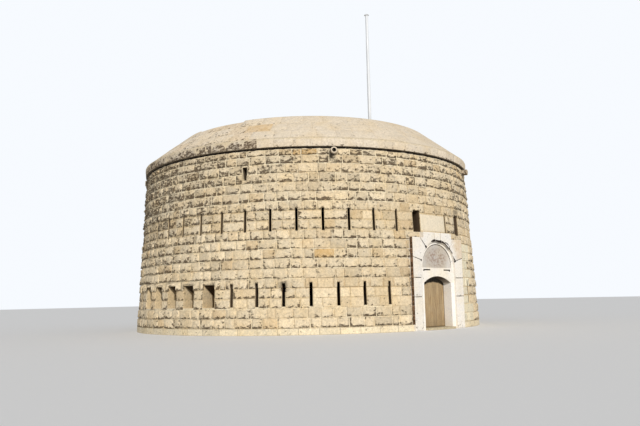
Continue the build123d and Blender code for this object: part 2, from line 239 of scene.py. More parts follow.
def layStones(name, surface, cells, look, scale, finish, body="tower"):
    # Every stone is a grid over its own cell of the surface. Its height at a point is the lowest of
    # three tilted planes, brought down to a low edge within `rise` of the outline (much nearer at
    # the bottom, which stays sharp), and worn stones lose a bite from one edge. A skirt runs back
    # by `bed` and one flat face closes the stone behind.
    left, right = cells["left"][:, None, None], cells["right"][:, None, None]
    low, high = cells["low"][:, None, :], cells["high"][:, None, :]
    s = cells["across"][:, None, :]
    t = np.array(look["upward"])[None, :, None]
    count, rows, columns = len(left), t.shape[1], s.shape[2]

    def draw(down=1, along=1):
        return chance.random((count, down, along))

    width, height = (right - left) * scale, high - low
    u = left + (right - left) * s
    v = low + height * t
    sides = np.minimum(np.minimum(s, 1 - s) * width, (1 - t) * height)
    edge = np.minimum(sides, t * height / look["undercut"])
    shrink = np.clip(1 - look["joint"] / width, 0.5, 1)
    u = (left + right) / 2 + (u - (left + right) / 2) * shrink
    v = low + height / 2 + (v - low - height / 2) * np.clip(1 - look["joint"] / height, 0.5, 1)
    pointed, calm, wear = (cells[key][:, None, None] for key in ("pointed", "calm", "wear"))
    wobble = look["wobble"] * wear
    outline = edge < 0.001
    u = u + wobble / scale * draw(rows, columns) * np.sign(0.5 - s) * outline
    v = v + wobble * draw(rows, columns) * np.sign(0.5 - t) * outline

    rimHeight = look["edge"] + look["flush"] * (0.2 * draw() ** 2 + 0.8 * pointed) * calm
    top = np.full((count, rows, columns), 9.0)
    for plane in range(3):
        base = look["boss"] * (0.8 + 0.6 * draw()) * calm
        tiltAcross = look["tilt"] * chance.normal(size=(count, 1, 1)) * wear * calm
        tiltUp = look["tilt"] * chance.normal(size=(count, 1, 1)) * wear * calm
        top = np.minimum(top, base + tiltAcross * (s - 0.5) + tiltUp * (t - 0.5))
    rough = look["rough"] * wear * chance.normal(size=(count, rows, columns))
    biteAt = draw() * width
    biteReach = look["bite"] * (0.5 + draw()) * (draw() < 0.4 * wear)
    biteLevel = height * (draw() < 0.35)
    away = np.hypot(s * width - biteAt, (t * height - biteLevel) * 1.3)
    bitten = np.clip(away / (biteReach + 1e-6), 0.15, 1) ** 0.8
    lift = np.clip(edge / look["rise"], 0, 1) ** 0.6 * bitten
    proud = rimHeight + (np.clip(top + rough, rimHeight, 1) - rimHeight) * lift

    grid = surface(u, v, proud).reshape(count, rows * columns, 3)
    cell = np.arange(rows * columns).reshape(rows, columns)
    ring = np.concatenate((cell[0], cell[1:, -1], cell[-1, -2::-1], cell[-2:0:-1, 0]))
    back = surface(u, v, -look["bed"] + 0 * proud).reshape(count, rows * columns, 3)[:, ring]
    points = np.concatenate((grid, back), axis=1)
    first = (np.arange(count) * points.shape[1])[:, None]
    behind = rows * columns + np.arange(len(ring))
    faces = np.stack((cell[:-1, :-1], cell[:-1, 1:], cell[1:, 1:], cell[1:, :-1]), -1).reshape(-1, 4)
    skirt = np.stack((behind, np.roll(behind, -1), np.roll(ring, -1), ring), -1)
    faces, rim = np.concatenate((faces, skirt)), behind[::-1]
    # the order of corners follows the surface's own sense, so that faces look outwards
    one = surface(u[:1], v[:1], 0 * proud[:1])[0]
    out = (surface(u[:1], v[:1], 0.01 + 0 * proud[:1])[0] - one)[0, 0]
    if np.dot(np.cross(one[0, -1] - one[0, 0], one[-1, 0] - one[0, 0]), out) < 0:
        faces, rim = faces[:, ::-1], rim[::-1]

    # painted shade and dirt darken the lower edge and one end; erosion gathers round a bite
    tints = np.repeat(cells["tint"][:, None], rows * columns, axis=1).reshape(count, rows, columns, 4)
    edgeShadeAndDirt = look["dirtAndShade"] * np.clip(chance.normal(0.9, 0.3, (count, 1, 1)), 0, 1.2) * (1 - 0.85 * pointed)
    reach = np.interp(t, (0, 0.06, 0.16, 0.40), (1, 1, 0.72, 0)) * (0.75 + 0.25 * wear)
    foot = edgeShadeAndDirt * reach * (0.5 + 0.5 * draw(1, columns) ** 0.5)
    inwards = np.where(draw() < 0.5, s, 1 - s) * width
    ends = edgeShadeAndDirt * (draw() < 0.6) * np.interp(inwards, (0, 0.05, 0.10), (1, 0.6, 0))
    ends = ends * (0.35 + 0.65 * draw(rows))
    bruised = 0.5 * wear * (1 - bitten) * (biteReach > 0)
    tints[..., 1] = np.clip(tints[..., 1] * (1.35 - 0.7 * t) + bruised + foot + ends, 0, 1)
    combined = (("shade", np.multiply), ("stain", np.maximum), ("ochre", np.maximum))
    for channel, (key, combine) in enumerate(combined):
        if key in cells:
            tints[..., channel] = combine(tints[..., channel], cells[key](u, v))
    tints = tints.reshape(count, rows * columns, 4)
    tints = np.concatenate((tints, tints[:, ring]), axis=1).reshape(-1, 4)
    quads = (first[:, :, None] + faces[None]).reshape(-1, 4)
    mesh = meshFromArrays(name, points.reshape(-1, 3), quads, first + rim[None], tints)
    return addPiece(mesh, finish, body)


weather = {
    "oldBearing": -108.0,        # the wall is most eroded here, on the left of the photo's side
    "oldSpread": 34.0,
    "paleLeft": (0.07, -80, 34),  # the low part of the wall is bleached: how much, bearing, spread
    "hidden": (-41, 88, 30),     # the photo's bearing, how far its sight reaches to each side, a fade
    "hiddenWear": 0.24,          # erosion on the side that the photo doesn't show
    "ochreRadius": 0.33,         # reach of an ochre stain, each at (bearing, level, strength)
    "ochre": ((-42.8, 8.1, 0.75), (-40.4, 8.1, 0.9), (-36.4, 3.4, 0.8), (-34.2, 3.4, 0.5),
              (-27.9, 8.1, 0.35)),
    # how far joints stand open or are filled flush, at (bearing, level), and the spreads of both
    "joints": ((-2.2, -60.0, 3.2, 18.0, 1.6), (1.2, -33.0, 2.9, 10.0, 1.0)),
    "washFrom": 11.5,            # limewash runs on over the wall right of the portal
    "washTo": 21.5,
    "washTop": 4.35,
}


def weatherTint(cells, level):
    # tint, pointing and wear of each wall stone from its bearing in degrees and its level
    count = len(cells["left"])
    middle = np.degrees((cells["left"] + cells["right"]) / 2)
    bright = np.clip(1 + 0.07 * chance.normal(size=count), 0.78, 1.12)
    pale, paleBearing, paleSpread = weather["paleLeft"]
    bright = bright + pale * near(middle, paleBearing, paleSpread) * np.clip((5.2 - level) / 1.2, 0, 1)
    high = np.clip((level - 1.5) / 4.0, 0.25, 1)
    old = near(middle, weather["oldBearing"], weather["oldSpread"]) * high
    seen, half, fade = weather["hidden"]
    behind = np.clip((np.abs(wrapped(middle - seen)) - half) / fade, 0, 1) * weather["hiddenWear"]
    eroded = 0.10 + 0.30 * np.clip((level - 4.6) / 3, 0, 1) + 0.62 * old + behind * (1 - old)
    eroded = eroded * (0.45 + 1.1 * chance.random(count))
    ochre = 0.45 * (chance.random(count) < 0.2) * chance.random(count)
    for bearing, stain, strength in weather["ochre"]:
        away = np.hypot(np.radians(wrapped(middle - bearing)) * 9.1, 1.6 * (level - stain))
        ochre = np.maximum(ochre, strength * (away < weather["ochreRadius"]))
    washed = (middle > weather["washFrom"]) & (middle < weather["washTo"]) & (level < weather["washTop"])
    wash = washed * chance.uniform(0.8, 1.0, count)
    eroded = np.where(washed, eroded * 0.4, eroded)
    # where the joints were filled flush: a slow wave over bearing and level
    turn = np.radians(middle)
    wave = np.sin(3 * turn + 1.3 * level + 0.5) + np.sin(6 * turn - 2.1 * level + 2.0)
    wave = wave + 0.8 * np.sin(9 * turn + 3.3 * level)
    for change, bearing, centre, spread, reach in weather["joints"]:
        wave = wave + change * near(middle, bearing, spread) * np.exp(-((level - centre) / reach) ** 2)
    pointed = np.clip((wave - 0.1) / 0.8, 0, 1) * np.clip(1 - 1.6 * old, 0, 1)
    cells["pointed"] = np.where(washed, 1.0, pointed)
    cells["washed"] = washed
    ochre = np.maximum(ochre, 0.22 * cells["pointed"] * chance.random(count))
    setTint(cells, bright, np.clip(eroded, 0, 1), ochre, wash)
    cells["wear"] = 0.6 + 0.75 * np.clip((level - 4.2) / 3, 0, 1) + 0.9 * old + 0.5 * behind


def linear(red, green, blue):
    # a screen colour, 0 to 255, as the linear values that a colour socket holds
    share = np.array((red, green, blue)) / 255
    bright = np.where(share <= 0.04045, share / 12.92, ((share + 0.055) / 1.055) ** 2.4)
    return (*bright, 1.0)


def feed(node, values):
    # links what is a socket and sets any other value
    for key, value in values.items():
        if isinstance(value, bpy.types.NodeSocket):
            node.id_data.links.new(value, node.inputs[key])
        else:
            node.inputs[key].default_value = value


def addNode(tree, kind, values, **settings):
    made = tree.nodes.new("ShaderNode" + kind)
    for key, value in settings.items():
        setattr(made, key, value)
    feed(made, values)
    return made


def treeOf(*values):
    # the node tree of the first socket among the values
    return next(value.id_data for value in values if isinstance(value, bpy.types.NodeSocket))


def calculate(operation, first, second=0.0):
    return addNode(treeOf(first, second), "Math", {0: first, 1: second}, operation=operation).outputs[0]


def times(first, second):
    return calculate("MULTIPLY", first, second)


def plus(first, second):
    return calculate("ADD", first, second)


def minus(first, second):
    return calculate("SUBTRACT", first, second)


def remap(source, low, high, toLow=0.0, toHigh=1.0):
    return addNode(source.id_data, "MapRange", {0: source, 1: low, 2: high, 3: toLow, 4: toHigh}).outputs[0]


def mixColor(share, first, second, blend="MIX"):
    return addNode(treeOf(share, first, second), "Mix", {0: share, 6: first, 7: second},
                   data_type="RGBA", blend_type=blend).outputs[2]


def filtered(color, glass):
    # one colour multiplied by another, or by a single value
    if getattr(glass, "type", "") == "VALUE":
        glass = addNode(glass.id_data, "CombineColor", {0: glass, 1: glass, 2: glass}).outputs[0]
    return mixColor(1.0, color, glass, "MULTIPLY")


def noise(coords, scale, detail, roughness, stretch=None):
    tree = coords.id_data
    if stretch:
        coords = addNode(tree, "Mapping", {"Vector": coords, "Scale": stretch}).outputs[0]
    values = {"Vector": coords, "Scale": scale, "Detail": detail, "Roughness": roughness}
    return addNode(tree, "TexNoise", values).outputs["Fac"]


def objectPoint(tree):
    return addNode(tree, "TexCoord", {}).outputs["Object"]


def axesOf(point):
    return addNode(point.id_data, "SeparateXYZ", {0: point}).outputs


def newGroup(name, inputs, outputs):
    # each input comes with its default value, and a colour is a tuple
    tree = bpy.data.node_groups.new(name, "ShaderNodeTree")
    for label, value in inputs.items():
        kind = "NodeSocketColor" if isinstance(value, tuple) else "NodeSocketFloat"
        tree.interface.new_socket(name=label, in_out="INPUT", socket_type=kind).default_value = value
    for label, kind in outputs.items():
        tree.interface.new_socket(name=label, in_out="OUTPUT", socket_type="NodeSocket" + kind)
    return tree, tree.nodes.new("NodeGroupInput").outputs, tree.nodes.new("NodeGroupOutput")


def weatheredStoneGroup():
    # The base colour is varied by fine grain and broad warm blotches, then stained ochre and washed
    # with lime where the tint says so. Erosion lowers the threshold of a noise, so that more and larger dark
    # hollows open as it grows; their dark colour is partly painted shade. Rain adds dark runs that are long
    # in Z.
    tree, given, made = newGroup("weatheredStone", {
        "Base": (0.6, 0.5, 0.35, 1), "Tint": (1, 0, 0, 1), "Wash": 0.0, "Rain": 0.0, "Grain": 1.0,
        "Lumps": 0.0}, {"Color": "Color", "Roughness": "Float", "Height": "Float"})
    coords = objectPoint(tree)
    bright, eroded, ochre = addNode(tree, "SeparateColor", {0: given["Tint"]}).outputs
    grain = noise(coords, 11, 8, 0.68)
    broad = noise(coords, 1.3, 3, 0.5)
    spots = noise(coords, 4.5, 7, 0.7)
    hollows = noise(coords, 1.0, 7, 0.66, stretch=(6.0, 6.0, 9.5))
    pores = noise(coords, 42, 4, 0.65)
    runs = noise(coords, 1.0, 5, 0.6, stretch=(4.5, 4.5, 0.4))
    base = given["Base"]
    color = mixColor(given["Grain"], base, filtered(base, remap(grain, 0.3, 0.7, 0.72, 1.2)))
    color = mixColor(remap(broad, 0.42, 0.66, 0.0, 0.8), color, filtered(color, (1.0, 0.95, 0.85, 1)))
    color = mixColor(remap(spots, 0.5, 0.66, 0.0, 0.7), color, filtered(color, (0.90, 0.92, 0.97, 1)))
    color = mixColor(times(ochre, remap(spots, 0.35, 0.6, 0.5, 1.0)), color, linear(199, 160, 98))
    wash = times(given["Wash"], remap(runs, 0.36, 0.6, 0.55, 1.0))
    color = mixColor(wash, color, linear(238, 230, 203))
    # painted shade, with dirt, in the eroded hollows
    hollowShade = remap(plus(hollows, times(eroded, 0.22)), 0.645, 0.73)
    color = mixColor(times(hollowShade, 0.86), color, linear(76, 57, 38))
    porous = times(remap(pores, 0.56, 0.68), remap(eroded, 0, 1, 0.2, 0.75))
    color = mixColor(porous, color, linear(122, 100, 70))
    color = mixColor(times(given["Rain"], remap(runs, 0.5, 0.72)), color, linear(96, 82, 64))
    height = plus(plus(grain, times(pores, 0.3)), times(spots, given["Lumps"]))
    feed(made, {"Color": filtered(color, bright), "Roughness": remap(grain, 0.3, 0.7, 0.8, 0.95),
                "Height": minus(height, times(hollowShade, 1.6))})
    return tree


def coursedGroup():
    # Joints of plain squared masonry on a round wall: the bearing times the radius runs along the
    # courses and Z up. Joint is 1 in the mortar.
    tree, given, made = newGroup("coursedMasonry", {
        "Radius": 7.6, "Course": 0.4277, "Length": 0.7, "Joint Width": 0.012, "Top": 20.0},
        {"Joint": "Float", "Shade": "Color"})
    x, y, z = axesOf(objectPoint(tree))
    along = times(calculate("ARCTAN2", x, times(y, -1)), given["Radius"])
    brick = addNode(tree, "TexBrick", {
        "Vector": addNode(tree, "CombineXYZ", {0: along, 1: minus(z, footingCourse)}).outputs[0],
        "Color1": (0.86, 0.86, 0.86, 1), "Color2": (1.1, 1.1, 1.1, 1), "Mortar": (0.9, 0.9, 0.9, 1),
        "Scale": 1.0, "Mortar Smooth": 0.2, "Bias": 0.0, "Brick Width": given["Length"],
        "Row Height": given["Course"], "Mortar Size": given["Joint Width"]}, offset=0.5).outputs
    below = calculate("LESS_THAN", z, given["Top"])
    feed(made, {"Joint": times(brick["Fac"], below), "Shade": mixColor(below, (1, 1, 1, 1), brick["Color"])})
    return tree


def revealShadeGroup():
    # Mask is 1 where painted shade, with some dirt, darkens the splays of the narrow loopholes and the
    # windows, inside the wall's own face. The widened ones, between two bearings on the left, and the air
    # hole high up stay light but for a painted shadow under the lintel.
    tree, given, made = newGroup("revealShadeMask", {
        "Foot Radius": 9.4, "Batter": 0.0523, "From": -1.83, "To": -1.16, "Split Level": 3.0,
        "Head": lowerHead, "Air Hole Head": tower["airHole"][3]}, {"Mask": "Float"})
    x, y, z = axesOf(objectPoint(tree))
    reach = calculate("SQRT", plus(times(x, x), times(y, y)))
    depth = minus(minus(given["Foot Radius"], times(given["Batter"], z)), reach)
    bearing = calculate("ARCTAN2", x, times(y, -1))
    after = calculate("GREATER_THAN", bearing, given["From"])
    before = calculate("LESS_THAN", bearing, given["To"])
    low, high = calculate("LESS_THAN", z, given["Split Level"]), calculate("GREATER_THAN", z, upperHead + 0.3)
    wide = calculate("MAXIMUM", times(times(after, before), low), high)
    head = plus(given["Head"], times(high, minus(given["Air Hole Head"], given["Head"])))
    # painted shadow under the lintel of a widened one: the further in, the lower it reaches
    lintel = minus(head, times(depth, plus(times(high, 1.8), 0.62)))
    paintedShadow = remap(minus(z, lintel), -0.03, 0.05, 0.0, 0.95)
    narrow = calculate("MAXIMUM", minus(1.0, wide), paintedShadow)
    inside = times(remap(depth, 0.01, 0.05, 0.0, 0.9), remap(depth, 1.1, 1.2, 1.0, 0.0))
    feed(made, {"Mask": times(inside, narrow)})
    return tree


def patchGroup():
    # A worn patch on the front: 1 inside an ellipse in X and Z, broken up by noise at its rim.
    tree, given, made = newGroup("wornPatch", {
        "Middle X": 0.0, "Middle Z": 3.3, "Half Width": 0.7, "Half Height": 0.4, "Strength": 0.6},
        {"Mask": "Float"})
    coords = objectPoint(tree)
    x, y, z = axesOf(coords)
    squares = []
    for place, middle, half in ((x, "Middle X", "Half Width"), (z, "Middle Z", "Half Height")):
        share = calculate("DIVIDE", minus(place, given[middle]), given[half])
        squares.append(calculate("POWER", calculate("ABSOLUTE", share), 2.0))
    inside = remap(plus(*squares), 0.35, 1.25, 1.0, 0.0)
    broken = times(inside, remap(noise(coords, 11.0, 6, 0.7), 0.42, 0.62))
    feed(made, {"Mask": times(broken, given["Strength"])})
    return tree


stoneGroup = weatheredStoneGroup()
masonryGroup = coursedGroup()
wornGroup = patchGroup()
revealShadeNodes = revealShadeGroup()


def newMaterial(name):
    material = bpy.data.materials.new(name)
    material.use_nodes = True
    return material, material.node_tree, material.node_tree.nodes["Principled BSDF"]


def bumped(height, strength, distance):
    values = {"Height": height, "Strength": strength, "Distance": distance}
    return addNode(height.id_data, "Bump", values).outputs[0]


def stoneMaterial(name, base, relief=0.006, tint=None, rain=0.0, grain=1.0, lumps=0.0, coursed=None,
                  patch=None, underShade=False, sootAndShade=False, shadedReveals=False):
    # weathered stone; without a tint of its own the surface reads the stones' attribute
    material, tree, surface = newMaterial(name)
    values = {"Base": linear(*base), "Rain": rain, "Grain": grain, "Lumps": lumps}
    group = addNode(tree, "Group", values, node_tree=stoneGroup)
    if tint is None:
        attribute = addNode(tree, "Attribute", {}, attribute_name="stoneTint").outputs
        feed(group, {"Tint": attribute["Color"], "Wash": attribute["Alpha"]})
    else:
        feed(group, {"Tint": (*tint, 1)})
    color, height = group.outputs["Color"], group.outputs["Height"]
    if coursed:
        joints = addNode(tree, "Group", coursed, node_tree=masonryGroup).outputs
        color = filtered(color, joints["Shade"])
        color = mixColor(times(joints["Joint"], 0.5), color, linear(136, 118, 90))
        height = minus(height, times(joints["Joint"], 1.5))
    if patch:
        worn = addNode(tree, "Group", patch, node_tree=wornGroup).outputs["Mask"]
        color = mixColor(worn, color, linear(158, 118, 96))
    if underShade:
        # painted shade on the cornice's lower face
        x, y, z = axesOf(objectPoint(tree))
        below = remap(z, headLevel + 0.004, headLevel + 0.012, 0.85, 0.0)
        color = mixColor(below, color, linear(58, 44, 32))
    if sootAndShade:
        # painted shade and soot under the arch: from 12 mm behind the front face, above the springing, less
        # towards the lit right end
        x, y, z = axesOf(objectPoint(tree))
        behind = remap(y, panelFront + 0.012, panelFront + 0.06)
        above = remap(z, doorSpringing - 0.06, doorSpringing + 0.04)
        share = times(times(behind, above), remap(x, 0.55, 0.95, 0.97, 0.72))
        color = mixColor(share, color, linear(56, 42, 32))
    if shadedReveals:
        # painted shade, with some dirt, in the loopholes' splays
        splayShade = addNode(tree, "Group", {}, node_tree=revealShadeNodes).outputs["Mask"]
        color = mixColor(splayShade, color, linear(72, 52, 36))
    feed(surface, {"Base Color": color, "Roughness": group.outputs["Roughness"],
                   "Specular IOR Level": 0.25, "Normal": bumped(height, 0.9, relief)})
    return material


def boardMaterial(name, tinted):
    # weathered boards: long grain in Z; each board's own tone, and the painted shadow of the arch, come from
    # the tint attribute
    material, tree, surface = newMaterial(name)
    coords = objectPoint(tree)
    grain = noise(coords, 1.0, 8, 0.65, stretch=(60, 60, 1.8))
    broad = noise(coords, 2.2, 4, 0.6)
    color = mixColor(remap(grain, 0.36, 0.62), linear(128, 104, 72), linear(192, 166, 126))
    color = mixColor(remap(broad, 0.4, 0.7, 0, 0.5), color, linear(172, 152, 120))
    color = mixColor(remap(axesOf(coords)[2], 0.1, 0.7, 0.35, 0.0), color, linear(124, 108, 84))
    if tinted:
        attribute = addNode(tree, "Attribute", {}, attribute_name="stoneTint")
        channels = addNode(tree, "SeparateColor", {0: attribute.outputs["Color"]})
        color = filtered(color, channels.outputs[0])
    feed(surface, {"Base Color": color, "Roughness": 0.78, "Normal": bumped(grain, 0.6, 0.004)})
    return material


def ironMaterial():
    # dark forged iron that noise turns to rust, which is rougher and less metallic
    material, tree, surface = newMaterial("forgedIron")
    rust = noise(objectPoint(tree), 22, 6, 0.7)
    color = mixColor(remap(rust, 0.42, 0.62), linear(40, 37, 35), linear(104, 62, 38))
    feed(surface, {"Base Color": color, "Roughness": remap(rust, 0.4, 0.65, 0.5, 0.9),
                   "Metallic": remap(rust, 0.45, 0.55, 0.7, 0.1), "Normal": bumped(rust, 0.5, 0.002)})
    return material


def paintMaterial():
    # white gloss paint, chalked and greyer in streaks, with rust spots
    material, tree, surface = newMaterial("polePaint")
    coords = objectPoint(tree)
    streak = noise(coords, 1.0, 5, 0.6, stretch=(25, 25, 1.2))
    spots = noise(coords, 30, 3, 0.7)
    color = mixColor(remap(streak, 0.4, 0.7, 0, 0.55), linear(236, 238, 240), linear(196, 198, 200))
    color = mixColor(remap(spots, 0.7, 0.78, 0, 0.8), color, linear(140, 92, 60))
    feed(surface, {"Base Color": color, "Roughness": remap(streak, 0.3, 0.7, 0.35, 0.6),
                   "Normal": bumped(streak, 0.15, 0.003)})
    return material


fieldStain = {"Middle X": 0.0, "Middle Z": 3.33, "Half Width": 0.86, "Half Height": 0.52}
footingJoints = {"Radius": 9.4, "Length": 0.9, "Course": footingCourse, "Top": 0.288}
stoneFinishes = {
    "bossedStone": dict(base=(230, 212, 180), relief=0.030, rain=0.05, lumps=2.2),
    "dressedStone": dict(base=(226, 211, 188), rain=0.06, grain=0.8),
    "loopholeStone": dict(base=(216, 196, 160), tint=(1, 0.2, 0), shadedReveals=True),
    # black crust; the same finish is painted shade under the cornice, in the drain's mouth and where the
    # portal's joints meet the arch
    "blackCrustAndShade": dict(base=(44, 36, 30), tint=(1, 0, 0)),
    "darkArrisStone": dict(base=(150, 116, 88), relief=0.012),
    "wallCore": dict(base=(232, 217, 186), tint=(1, 0.2, 0), shadedReveals=True, coursed=footingJoints),
    "plainStone": dict(base=(220, 204, 176), tint=(1, 0.1, 0), relief=0.004),
    "corniceStone": dict(base=(220, 204, 176), tint=(1, 0.1, 0), relief=0.004, underShade=True),
    "limewash": dict(base=(244, 237, 226), tint=(1, 0, 0), relief=0.004, rain=0.04, grain=0.4,
                     patch={**fieldStain, "Strength": 0.95}),
    "freshLimewash": dict(base=(252, 248, 241), tint=(1, 0, 0), relief=0.004, grain=0.3),
    "sootAndShadeHead": dict(base=(244, 237, 226), tint=(1, 0, 0), relief=0.004, rain=0.04, grain=0.4,
                      sootAndShade=True, patch={**fieldStain, "Strength": 0.78}),
    "limewashStones": dict(base=(240, 234, 224), relief=0.005, rain=0.08, grain=0.5),
    "innerStone": dict(base=(196, 178, 146), tint=(1, 0.25, 0), coursed={"Radius": 7.6, "Length": 0.7}),
    "paving": dict(base=(196, 182, 152), tint=(1, 0.2, 0), relief=0.005),
    "pavingStones": dict(base=(204, 190, 160)),
}
finishes = {name: stoneMaterial(name, **values) for name, values in stoneFinishes.items()}
finishes["leafBoards"] = boardMaterial("leafBoards", tinted=False)
finishes["faceBoards"] = boardMaterial("faceBoards", tinted=True)
finishes["iron"], finishes["paint"] = ironMaterial(), paintMaterial()
print("materials made:", len(finishes))

# which solids wear a finish, by the start of their names; the first that fits counts
solidFinish = {
    "wallCore": ("lower_wall", "middle_wall", "upper_wall"),
    "loopholeStone": ("lower_loophole", "upper_loophole"),
    "corniceStone": ("cornice",), "plainStone": ("parapet", "spouts", "flagpole_foot"),
    "limewash": ("portal",), "freshLimewash": ("door_cheek",), "sootAndShadeHead": ("door_head",),
    "innerStone": ("passage",),
    "paving": ("ground_floor", "upper_floor", "roof_slab", "gun_platform", "threshold"),
    "leafBoards": ("door_leaf",), "iron": ("door_straps", "door_pintles"), "paint": ("flagpole",),
}
for name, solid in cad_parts.items():
    wanted = next(finish for finish, starts in solidFinish.items() if name.startswith(starts))
    solid.data.materials.clear()
    solid.data.materials.append(finishes[wanted])


spouts = {
    "bearings": (-121.0, -33.3, 27.9, 100.0, 172.0),
    "reaches": (0.170, 0.310, 0.310, 0.310, 0.310),  # the first has lost its end
    "radius": 0.155, "bore": 0.080, "slack": 0.02, "bed": 0.30,
    "rim": 0.02,                 # size of the rounding at the mouth
    "chips": (0.10, 0.012),      # roughness of the broken one and of the others
    "sides": 32,
}
spoutLevel = (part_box("spouts")[0].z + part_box("spouts")[1].z) / 2
wall = {
    "footing": 0.29,             # the lowest course is a solid's own face
    "course": 0.4277, "courses": 17,
    "topCourses": 2,             # two lower courses under the cornice
    "bands": (("lower", 3), ("middle", 5.6), ("upper", 99)),  # pieces, and the level each reaches
    "stoneLength": 0.62,
    "columns": 8,
    "throughSlack": 0.12,        # an opening that leaves less than this of a course cuts it through
    "notchMargin": (0.15, 0.34),  # how far a notched stone reaches past the hole
    "notchGap": 0.75,            # nearer holes share what lies between them
    "shadowGap": 0.085,          # a black band of painted shadow between the top course and the cornice
    "calm": 0.35,                # share of the boss left on the stones beside an opening
    "uneven": 0.012,             # how far a stone's bed may lie off the course's line
    "faceRadius": 9.2,           # about where the openings are cut
}
wallLook = {
    "joint": 0.028, "edge": 0.004, "flush": 0.034, "boss": 0.056, "tilt": 0.052, "rough": 0.014,
    "rise": 0.052, "undercut": 0.22, "wobble": 0.018, "bite": 0.24, "dirtAndShade": 1.0, "bed": 0.012,
    "upward": (0, 0.05, 0.15, 0.38, 0.64, 0.88, 1),
}
# dirt and painted shade on the wall; distances to the side are in degrees, levels in metres
dirtAndShade = {
    "cornice": (0.14, 0.06),             # painted shadow under the cornice: how far below it ends, fade
    "spouts": (1.2, 0.7, 1.5, 0.42),     # strength, how far left of a spout, spread, fall
    "airHole": (0.8, 1.6, 0.12, 0.16),   # strength, spread, middle above the head, fade
    "spoutShadeAndStain": (0.8, 1.1, 0.50, 0.2),    # painted shadow and stain below a spout: how far left of it, spread, length, fade
    "black": 0.75, "keyhole": 1.15,      # share of brightness that the painted shade takes, strength at the keyhole
}
# the smooth slab that closes the upper loophole over the door, and the bearings kept clear of courses
slab = {"left": -5.75, "right": 5.5, "low": 4.56, "high": 5.37, "radius": 9.1, "clear": (-7.2, 5.9)}
slabLook = dict(wallLook, boss=0.016, tilt=0.002, rough=0.0006, rise=0.02, wobble=0.004, undercut=1,
                bite=0, flush=0.0, dirtAndShade=0.3, joint=0.004)
# the band of painted shadow under the cornice, and the plates round the spouts
shadowBandAndPlates = {"stones": 110, "radius": 9.0, "ragged": 0.03, "plateRadius": 8.98}
shadowBandAndPlateLook = dict(wallLook, boss=0.006, edge=0.003, flush=0.0, rise=0.01, undercut=1, rough=0.002,
                     tilt=0, bite=0, joint=0.0, dirtAndShade=0, wobble=0.004)


def wallOpenings():
    # (bearing, half width, sill, head) of every hole that the facing leaves free
    found = []
    half = tower["loopsRound"] // 2
    for number in range(-half, half + 1):
        nearer = math.radians(tower["crowding"]) if number in (1, 2) else 0
        width = tower["windowHalf"] if number in tower["windows"] else tower["upperHalf"]
        if number:
            found.append((number * pitch - nearer, width, upperSill, upperHead))
    clear = math.asin(portalHalf / wallRadius(lowerSill)) + pitch / 4
    for number in range(-half - 1, half):
        bearing = (number + 0.5) * pitch
        width = tower["widenedHalf"] if number in tower["widened"] else tower["lowerHalf"]
        if abs(bearing) > clear:
            found.append((bearing, width, lowerSill, lowerHead))
    bearing, width, sill, head = tower["airHole"]
    found.append((math.radians(bearing), width, sill, head))
    reach = spouts["radius"] + spouts["slack"]
    for bearing in spouts["bearings"]:
        found.append((math.radians(bearing), reach, spoutLevel - reach, spoutLevel + reach))
    return found


def splitRun(start, end, radius, low, high):
    # a run of one course cut into stones of uneven length
    length = (end - start) * radius
    count = max(1, round(length / wall["stoneLength"] + 0.25 * chance.normal()))
    cuts = np.arange(1, count) + chance.uniform(-0.27, 0.27, count - 1)
    cuts = start + (end - start) * np.concatenate(([0], cuts, [count])) / count
    return [(a, b, low, high) for a, b in zip(cuts, cuts[1:])]


def ringStones(count, low, high, start=0.0):
    # a closed ring of stones, each a little longer or shorter than the next
    cuts = (np.arange(count) + chance.uniform(-0.16, 0.16, count)) * 2 * math.pi / count + start
    cuts = np.append(cuts, cuts[0] + 2 * math.pi)
    return [(a, b, low, high) for a, b in zip(cuts, cuts[1:])]


def courseStones(low, high, openings):
    # Holes that pass through the course stop its runs. A hole that only bites into it gets one
    # longer stone, notched to the hole's head or sill.
    radius = wallRadius((low + high) / 2)
    events = []
    for bearing, half, sill, head in openings:
        turn = half / radius
        if head < low + 0.02 or sill > high - 0.02:
            continue
        through = sill < low + wall["throughSlack"] and head > high - wall["throughSlack"]
        notch = None if through else ("sill", sill) if sill > low else ("head", head)
        events.append((bearing - turn, bearing + turn, notch))
    if low < shoulderLevel:
        edge = math.asin(portalHalf / (radius + 0.02)) + 0.0015
        events = [event for event in events if not -edge < event[0] < edge]
        events.append((-edge, edge, None))
    if not events:
        start = chance.uniform(0, pitch)
        return splitRun(start, start + 2 * math.pi, radius, low, high)
    events.sort()
    margins = [[0.0, 0.0] for _ in events]
    stones = []
    for place, (start, end, notch) in enumerate(events):
        following = (place + 1) % len(events)
        nextStart = events[following][0] + (2 * math.pi if following == 0 else 0)
        gap = (nextStart - end) * radius
        biteHere, biteNext = notch is not None, events[following][2] is not None
        if gap < wall["notchGap"] and (biteHere or biteNext):
            share = chance.uniform(0.4, 0.6) if biteHere and biteNext else float(biteHere)
            margins[place][1], margins[following][0] = gap * share, gap * (1 - share)
            continue
        before = chance.uniform(*wall["notchMargin"]) if biteHere else 0.0
        after = chance.uniform(*wall["notchMargin"]) if biteNext else 0.0
        margins[place][1], margins[following][0] = before, after
        stones += splitRun(end + before / radius, nextStart - after / radius, radius, low, high)
    for (start, end, notch), (before, after) in zip(events, margins):
        if notch is None:
            continue
        left, right = start - before / radius, end + after / radius
        a, b = (start - left) / (right - left), (end - left) / (right - left)
        step = 0.005 / ((right - left) * radius)
        across = np.array((0, a / 2, a - step, a, b, b + step, (1 + b) / 2, 1))
        lows, highs = np.full(8, low), np.full(8, high)
        kind, level = notch
        (highs if kind == "sill" else lows)[3:5] = level
        stones.append((left, right, low, high, (across, lows, highs)))
    return stones


